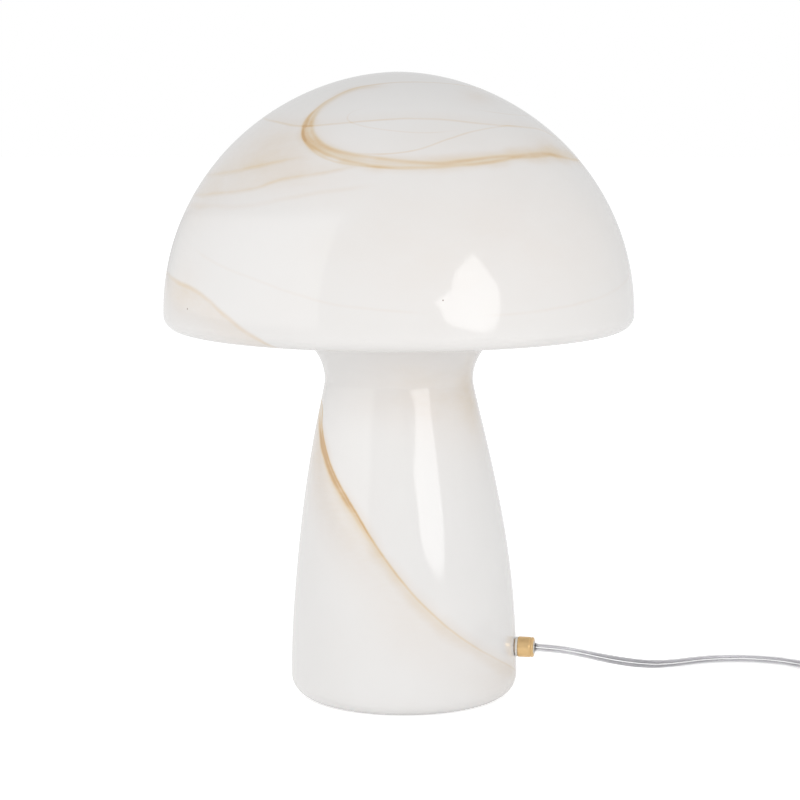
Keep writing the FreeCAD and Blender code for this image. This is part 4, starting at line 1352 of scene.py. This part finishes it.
@dataclass
class TwinCord:
    """Clear flat twin cord on edge, with two tinned conductors. Sizes in millimetres."""

    name: str
    points: Sequence[Point]
    smoothness: int = 10
    order: int = 3
    wide: float = 5.4
    thick: float = 2.8
    waist: float = 0.22
    section_points: int = 28
    core_apart: float = 1.12
    core_radius: float = 0.68
    core_points: int = 10
    steep: Pair = (0.6, 0.95)
    steep_up: Point = (-1.0, 0.2, 0.0)

    def line(self) -> Array:
        """Reads points from the route's own smooth line.

        Returns:
            Points in millimetres, as rows.
        """
        curve = bpy.data.curves.new(self.name + "_route", "CURVE")
        curve.dimensions = "3D"
        curve.resolution_u = self.smoothness
        spline = curve.splines.new("NURBS")
        spline.points.add(len(self.points) - 1)
        places = np.concatenate([np.array(self.points, float) * MM, np.ones((len(self.points), 1))], axis=1)
        spline.points.foreach_set("co", places.ravel())
        spline.order_u = self.order
        spline.use_endpoint_u = True
        route = placed(self.name + "_route", curve)
        bpy.context.view_layer.update()
        mesh = bpy.data.meshes.new_from_object(route)
        read = read_points(mesh)
        bpy.data.objects.remove(route)
        bpy.data.curves.remove(curve)
        bpy.data.meshes.remove(mesh)
        return read

    def sides(self, line: Array) -> tuple[Array, Array]:
        """Thin and wide directions of the cord at each point of its line.

        Formula: thin = t x u, wide = thin x t, with u straight up, turned towards the lamp's left where the
        line itself stands up.

        Args:
            line: Points of the line.

        Returns:
            Both directions, as rows.
        """
        tangent = unit(np.gradient(line, axis=0))
        steep = smooth(*self.steep, np.abs(tangent[:, 2]))[:, None]
        thin = unit(np.cross(tangent, UP * (1 - steep) + np.array(self.steep_up) * steep))
        return thin, unit(np.cross(thin, tangent))

    def jacket_section(self) -> Array:
        """Outline of the twin jacket: y = wide/2 sin a, and x = thick/2 (with a waist) closed by two round
        ends.

        Returns:
            Points of (thin, wide).
        """
        angle = round_angles(self.section_points)
        half, end = self.thick / 2, self.wide / 2 - self.thick / 2
        y = self.wide / 2 * np.sin(angle)
        waist = half * (1 - self.waist * (0.5 + 0.5 * np.cos(math.pi * np.clip(y / end, -1, 1))))
        cap = half * np.sqrt(np.clip(1 - ((np.abs(y) - end) / half) ** 2, 0, 1))
        side = np.where(np.abs(np.cos(angle)) > TINY, np.sign(np.cos(angle)), 0.0)
        return np.stack([np.where(np.abs(y) < end, waist, cap) * side, y], axis=1)

    def carry(self, name: str, line: Array, section: Array, shift: float = 0.0) -> Object:
        """Tube with a section carried along the line: P(i, k) = L_i + x_k thin_i + (y_k + shift) wide_i.

        Args:
            name: Name of the tube.
            line: Points of the line.
            section: Points of (thin, wide).
            shift: How far the section stands to the wide side.

        Returns:
            The tube.
        """
        thin, wide = self.sides(line)
        x, y = section[None, :, :1], section[None, :, 1:] + shift
        return surface(name, line[:, None] + x * thin[:, None] + y * wide[:, None])

    def build(self, body: str, *nodes: str) -> tuple[Object, list[Object], Array]:
        """Makes the jacket and the two conductors.

        Args:
            body: Body that they ride on. An empty name leaves them without a body.
            *nodes: Solids that the jacket stands for.

        Returns:
            The jacket, the conductors and the line in millimetres.
        """
        line = self.line()
        jacket = self.carry(self.name, line, self.jacket_section())
        keep_piece(jacket, body, CLEAR_JACKET, "clear_cord", *nodes)
        circle = arc((0, 0), self.core_radius, 0, 360, self.core_points + 1)[:-1]
        cores = []
        for word, shift in (("low", -self.core_apart), ("high", self.core_apart)):
            core = self.carry(f"{self.name}_core_{word}", line, circle, shift)
            cores.append(keep_piece(core, body, TINNED, "clear_cord"))
        log.info("%s: %.1f mm", self.name, run_lengths(line)[-1])
        return jacket, cores, line


@dataclass
class Lead:
    """The whole lead: gland to switch, and switch by the coil to the plug. Sizes in millimetres.

    The coil's layers have seven turns' ends each, the lower wound inwards and the upper outwards.
    """

    lamp_points: tuple[Point, ...] = (
        (84.55, -14.91, 32.0), (98.7, -17.0, 31.6), (115.0, -14.5, 28.0), (134.0, -1.0, 20.5),
        (156.0, 27.0, 10.5), (177.0, 53.0, 3.4), (212.0, 74.0, 2.7), (250.0, 71.0, 2.7),
        (275.0, 49.0, 3.4), (283.0, 20.0, 7.0), (283.0, 4.0, 7.0))
    switch_points: tuple[Point, ...] = ((283.0, -54.0, 7.0), (283.0, -66.0, 7.0), (283.0, -80.6, 3.6),
                                        (283.0, -92.6, 3.6))
    plug_points: tuple[Point, ...] = ((369.8, -92.6, 9.5), (369.8, -84.6, 9.5), (369.8, -72.6, 7.0),
                                      (369.8, -64.6, 7.0))
    coil_middle: Pair = (326.4, -98.0)
    coil_inner: float = 22.1
    coil_step: float = 3.55
    coil_levels: Pair = (3.6, 9.5)
    layer_ends: int = 7
    points_each: int = 9
    coil_smoothness: int = 4
    wide: float = 5.4
    lamp_length: float = 0.281
    plug_length: float = 1.383
    tie_span: Pair = (20.6, 41.4)
    tie_top: float = 13.1
    tie_thick: float = 0.6
    tie_half: float = 4.0
    tie_round: Pair = (3.2, 0.25)
    tie_turn: float = 45.0
    tie_samples: int = 119
    tie_corner: tuple[int, int] = (9, 4)
    switch_nodes: tuple[str, ...] = (
        "switch_lower_shell", "switch_upper_shell", "switch_rocker", "switch_pivot", "switch_terminals",
        "switch_terminal_screws", "switch_screws")

    def coil_points(self) -> list[Point]:
        """Points of the coil: half turns round (x_k + x_k+1) / 2, each point pushed out by the little that
        the smooth line cuts inside its points.

        Returns:
            The points.
        """
        layer = self.layer_ends
        steps = [*range(layer - 1, -1, -1), *range(layer)]
        ends = [self.coil_middle[0] + (-1) ** (n + 1) * (self.coil_inner + step * self.coil_step)
                for n, step in enumerate(steps)]
        levels = [self.coil_levels[n // layer] for n in range(len(steps))]
        push = 4.0 / (3.0 + math.cos(math.pi / self.points_each))
        found: list[Point] = []
        for k in range(len(steps) - 1):
            middle, radius = (ends[k] + ends[k + 1]) / 2, abs(ends[k + 1] - ends[k]) / 2 * push
            for j in range(self.points_each):
                share = (j + 0.5) / self.points_each
                angle = math.pi * (1 + k + share)
                rise = levels[k] + (levels[k + 1] - levels[k]) * share
                found.append((middle + radius * math.cos(angle),
                              self.coil_middle[1] + radius * math.sin(angle), rise))
        return found

    def build(self, plug: "Plug") -> None:
        """Args:
            plug: The plug on the far end. Not used.
        """
        first, cores, line = TwinCord("lamp_lead", self.lamp_points).build("glass", "cord_lamp_run")
        points = [*self.switch_points, *self.coil_points(), *self.plug_points]
        cord = TwinCord("plug_lead", points, self.coil_smoothness)
        second, more, line = cord.build("glass", "cord_switch_run", "cord_coil", "cord_end_run")
        tie = self.tie()

    def tie(self) -> Object:
        """Flat strap round the coil: a rounded rectangle in the upright plane at 45 degrees, carried with a
        thin strip as its section.

        Returns:
            The tie.
        """
        (near, far), half = self.tie_span, self.tie_thick / 2
        strap = rectangle((near - half, far + half), (half, self.tie_top - half))
        path = rounded(strap, self.tie_round[0], True, self.tie_corner[0])
        closed = np.concatenate([path, path[:1]])
        lengths = run_lengths(closed)
        even = np.arange(self.tie_samples) / self.tie_samples * lengths[-1]
        dense = np.stack([np.interp(even, lengths, closed[:, k]) for k in (0, 1)], axis=1)
        direction = unit(np.roll(dense, -1, axis=0) - np.roll(dense, 1, axis=0))
        outward = np.stack([direction[:, 1], -direction[:, 0]], axis=1)
        flat_strip = rectangle((-half, half), (-self.tie_half, self.tie_half))
        strip = rounded(flat_strip, self.tie_round[1], True, self.tie_corner[1])
        flat = dense[:, None] + strip[None, :, :1] * outward[:, None]
        turn = math.radians(self.tie_turn)
        axis = Axis((*self.coil_middle, 0.0), across=(math.cos(turn), math.sin(turn), 0.0))
        rows = np.stack(np.broadcast_arrays(flat[..., 0], strip[None, :, 1], flat[..., 1]), axis=-1)
        tie = surface("coil_tie", axis.place(rows), True)
        return keep_piece(tie, "glass", WHITE_PLASTIC, "clear_plastic", "cord_tie")


@dataclass
class Plug:
    """Two-pin plug with a ribbed, tapered strain relief. Sizes in millimetres."""

    x: float = 369.8
    level: float = 7.0
    relief: Pair = (-64.6, -41.6)
    relief_radius: Pair = (3.5, 5.6)
    relief_lip: float = 0.4
    relief_points: int = 90
    grooves: float = 5.5
    groove_depth: float = 0.5
    groove_edge: Pair = (0.35, 0.8)
    groove_start: Pair = (0.05, 0.12)
    groove_end: Pair = (0.86, 0.95)
    relief_columns: int = 48
    body: Pair = (-42.6, -6.6)
    neck: float = 10.0
    face: float = 17.5
    shoulder: float = 16.2
    half_thick: float = 7.0
    neck_share: float = 0.86
    edge: float = 2.2
    squareness: float = 0.5
    body_grid: tuple[int, int] = (60, 72)
    made: list[Object] = field(default_factory=list)

    def make_relief(self) -> Object:
        """Taper with grooves: r = a + (b - a) s - depth * g(s), with g a row of round grooves.

        Returns:
            The strain relief.
        """
        share = np.linspace(0, 1, self.relief_points)
        grooves = smooth(*self.groove_edge, 0.5 + 0.5 * np.cos(FULL_TURN * self.grooves * share))
        grooves *= smooth(*self.groove_start, share) * (1 - smooth(*self.groove_end, share))
        (thin, thick), (start, end) = self.relief_radius, self.relief
        outline = np.stack([thin + (thick - thin) * share - self.groove_depth * grooves,
                            start + share * (end - start)], axis=1)
        outline = np.concatenate([[[outline[0, 0] - self.relief_lip, start]], outline])
        axis = Axis((self.x, 0.0, self.level), (0.0, 1.0, 0.0))
        return turned("lead_relief", outline, self.relief_columns, axis=axis)

    def make_body(self) -> Object:
        """Body as a rounded section carried along Y.

        Formula: x = w(y) sgn(cos a) |cos a|^0.5, z = h(y) sgn(sin a) |sin a|^0.5, with w going from the neck
        to the face in a smooth step, and both drawn in at the two ends by a quarter round.

        Returns:
            The body.
        """
        count, columns = self.body_grid
        length = self.body[1] - self.body[0]
        y = length * (0.5 - 0.5 * np.cos(np.linspace(0, math.pi, count)))
        near = np.clip(np.minimum(y, length - y) / self.edge, 0, 1)
        drawn_in = self.edge * (1 - np.sqrt(np.clip(1 - (1 - near) ** 2, 0.0, 1.0)))
        grow = smooth(0.0, self.shoulder, y)
        wide = self.neck + (self.face - self.neck) * grow - drawn_in
        high = self.half_thick * (self.neck_share + (1 - self.neck_share) * grow) - drawn_in
        square = [np.sign(wave) * np.abs(wave) ** self.squareness
                  for wave in (np.cos(round_angles(columns)), np.sin(round_angles(columns)))]
        x, z = wide[:, None] * square[0], high[:, None] * square[1]
        rows = np.stack([self.x + x, (self.body[0] + y)[:, None] + 0 * x, self.level + z], axis=-1)
        return surface("plug_shell", rows)

    def build(self) -> None:
        """Makes the relief and the body, and dresses pins and sleeves."""
        for piece, node in ((self.make_relief(), "plug_strain_relief"), (self.make_body(), "plug_body")):
            self.made.append(keep_piece(piece, "glass", CLEAR_CASE, "clear_plastic", node))
        dress(NICKEL, "plug_pins")
        dress(BLACK_RUBBER, "pin_sleeves")


# --- inside -------------------------------------------------------------------------------
@dataclass
class Bulb:
    """Screw-cap bulb with an opal globe. Sizes in millimetres, heights from the table at rest.

    The flare's points are steps (out, up) from the neck's foot or from the collar's top edge.
    """

    cap_radii: Pair = (11.45, 13.05)
    cap: Pair = (101.9, 122.9)
    pitch: float = 3.63
    thread_depth: float = 1.0
    neck_radius: float = 14.2
    collar_radius: float = 27.0
    collar_top: float = 152.9
    flare_foot: tuple[Pair, ...] = ((-1.0, 0.0), (-0.2, 0.05))
    flare_pull: tuple[Pair, ...] = ((0.0, 0.0), (2.0, 12.0), (-2.0, -10.0), (0.0, -0.8))
    flare_lip: tuple[Pair, ...] = ((-0.3, -0.1), (-1.2, 0.0))
    columns: int = 96
    cap_columns: int = 72
    flare_points: int = 40
    globe_points: tuple[int, int] = (40, 56)
    globe_radius: float = 30.0
    globe_wall: float = 1.2
    globe_middle: float = 174.9

    def globe_side(self, radius: float, count: int) -> Array:
        """Side of the globe from its seat in the collar to its top."""
        seat = math.degrees(math.asin((self.collar_top - self.globe_middle) / radius))
        return arc((0, self.globe_middle), radius, seat, 90, count)

    def build(self) -> None:
        """Makes the threaded cap, the collar and the globe, and dresses the rest."""
        cap = threaded("bulb_cap", self.cap_radii, self.cap, self.pitch, self.thread_depth,
                       columns=self.cap_columns)
        keep_piece(cap, "bulb", ALUMINIUM, "bulb_metal", "bulb_screw_cap")
        low, high = np.array([self.neck_radius, self.cap[1]]), np.array([self.collar_radius, self.collar_top])
        pulls = [*(low + self.flare_pull[:2]), *(high + self.flare_pull[2:])]
        flare = bezier(pulls, self.flare_points)
        outline = np.concatenate([low + self.flare_foot, flare, high + self.flare_lip])
        flared = turned("bulb_flare", outline, self.columns)
        keep_piece(flared, "bulb", WHITE_PLASTIC, "bulb_plastic", "bulb_collar")
        inner = self.globe_side(self.globe_radius - self.globe_wall, self.globe_points[0])
        outer = self.globe_side(self.globe_radius, self.globe_points[1])
        globe = turned("bulb_bowl", np.concatenate([inner[-2::-1], outer[:-1]]), self.columns)
        keep_piece(globe, "bulb", BULB_OPAL, "bulb_opal", "bulb_globe")
        dress(NICKEL, "bulb_tip")
        dress(BLACK_GLASS, "bulb_insulator")
        dress(ALUMINIUM, "bulb_board")


@dataclass
class Carrier:
    """Plate, bracket and lampholder that pull out of the foot, with the flex inside. Sizes in millimetres."""

    flex_points: tuple[Point, ...] = (
        (83.955, -14.804, 32.0), (49.24, -8.682, 32.0), (32.0, 37.0, 25.0), (-9.0, 49.0, 19.0),
        (-46.0, 21.0, 15.5), (-44.0, -26.0, 15.5), (-5.0, -50.0, 18.0), (34.0, -36.0, 22.0),
        (33.0, -4.0, 26.0), (0.0, 0.0, 36.0), (0.0, 0.0, 71.8))
    flex_length: float = 0.375
    flex_wide: float = 5.4
    bend_start: Point = (50.0, -8.0, 32.0)
    bend_end: Point = (34.0, -8.0, 32.0)
    tube_radii: Pair = (3.6, 5.0)

    def build(self) -> None:
        """Dresses the solids, threads the nipple and makes the flex between glass and carrier."""
        dress(ZINC, "base_plate", "holder_bracket")
        dress(BLACK_RUBBER, "plate_edging")
        dress(STEEL, "bracket_rivets", "nipple_washer", "holder_grub_screw", "terminal_screws")
        dress(BRASS, "nipple_nut", "centre_contact", "core_ends")
        dress(WHITE_PLASTIC, "nipple_bush", "holder_cap", "holder_shell")
        dress(STEATITE, "holder_insert")
        dress(ALUMINIUM, "thread_liner")
        low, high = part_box("holder_nipple")
        nipple = threaded("nipple_thread", self.tube_radii, (low.z / MM, high.z / MM))
        keep_piece(nipple, "carrier", BRASS, "brass", "holder_nipple")
        jacket, cores, line = TwinCord("flex", self.flex_points).build("", "inner_flex")
        for piece in [jacket, *cores]:
            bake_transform(piece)


class LeadSwitch:
    """The in-line rocker switch."""

    def build(self) -> None:
        """Dresses the switch's solids."""
        dress(CLEAR_CASE, "switch_lower_shell", "switch_upper_shell")
        dress(WHITE_PLASTIC, "switch_rocker")
        dress(STEEL, "switch_pivot", "switch_terminal_screws", "switch_screws")
        dress(BRASS, "switch_terminals")


def main() -> None:
    """Builds the lamp in order."""
    logging.basicConfig(level=logging.INFO, format="%(message)s")
    Studio().build()
    plug = Plug()
    plug.build()
    Lead().build(plug)
    for part in (GlassBody(), CordGland(), Carrier(), Bulb(), LeadSwitch()):
        part.build()
        log.info("built: %s", type(part).__name__)


if __name__ == "__main__":
    main()
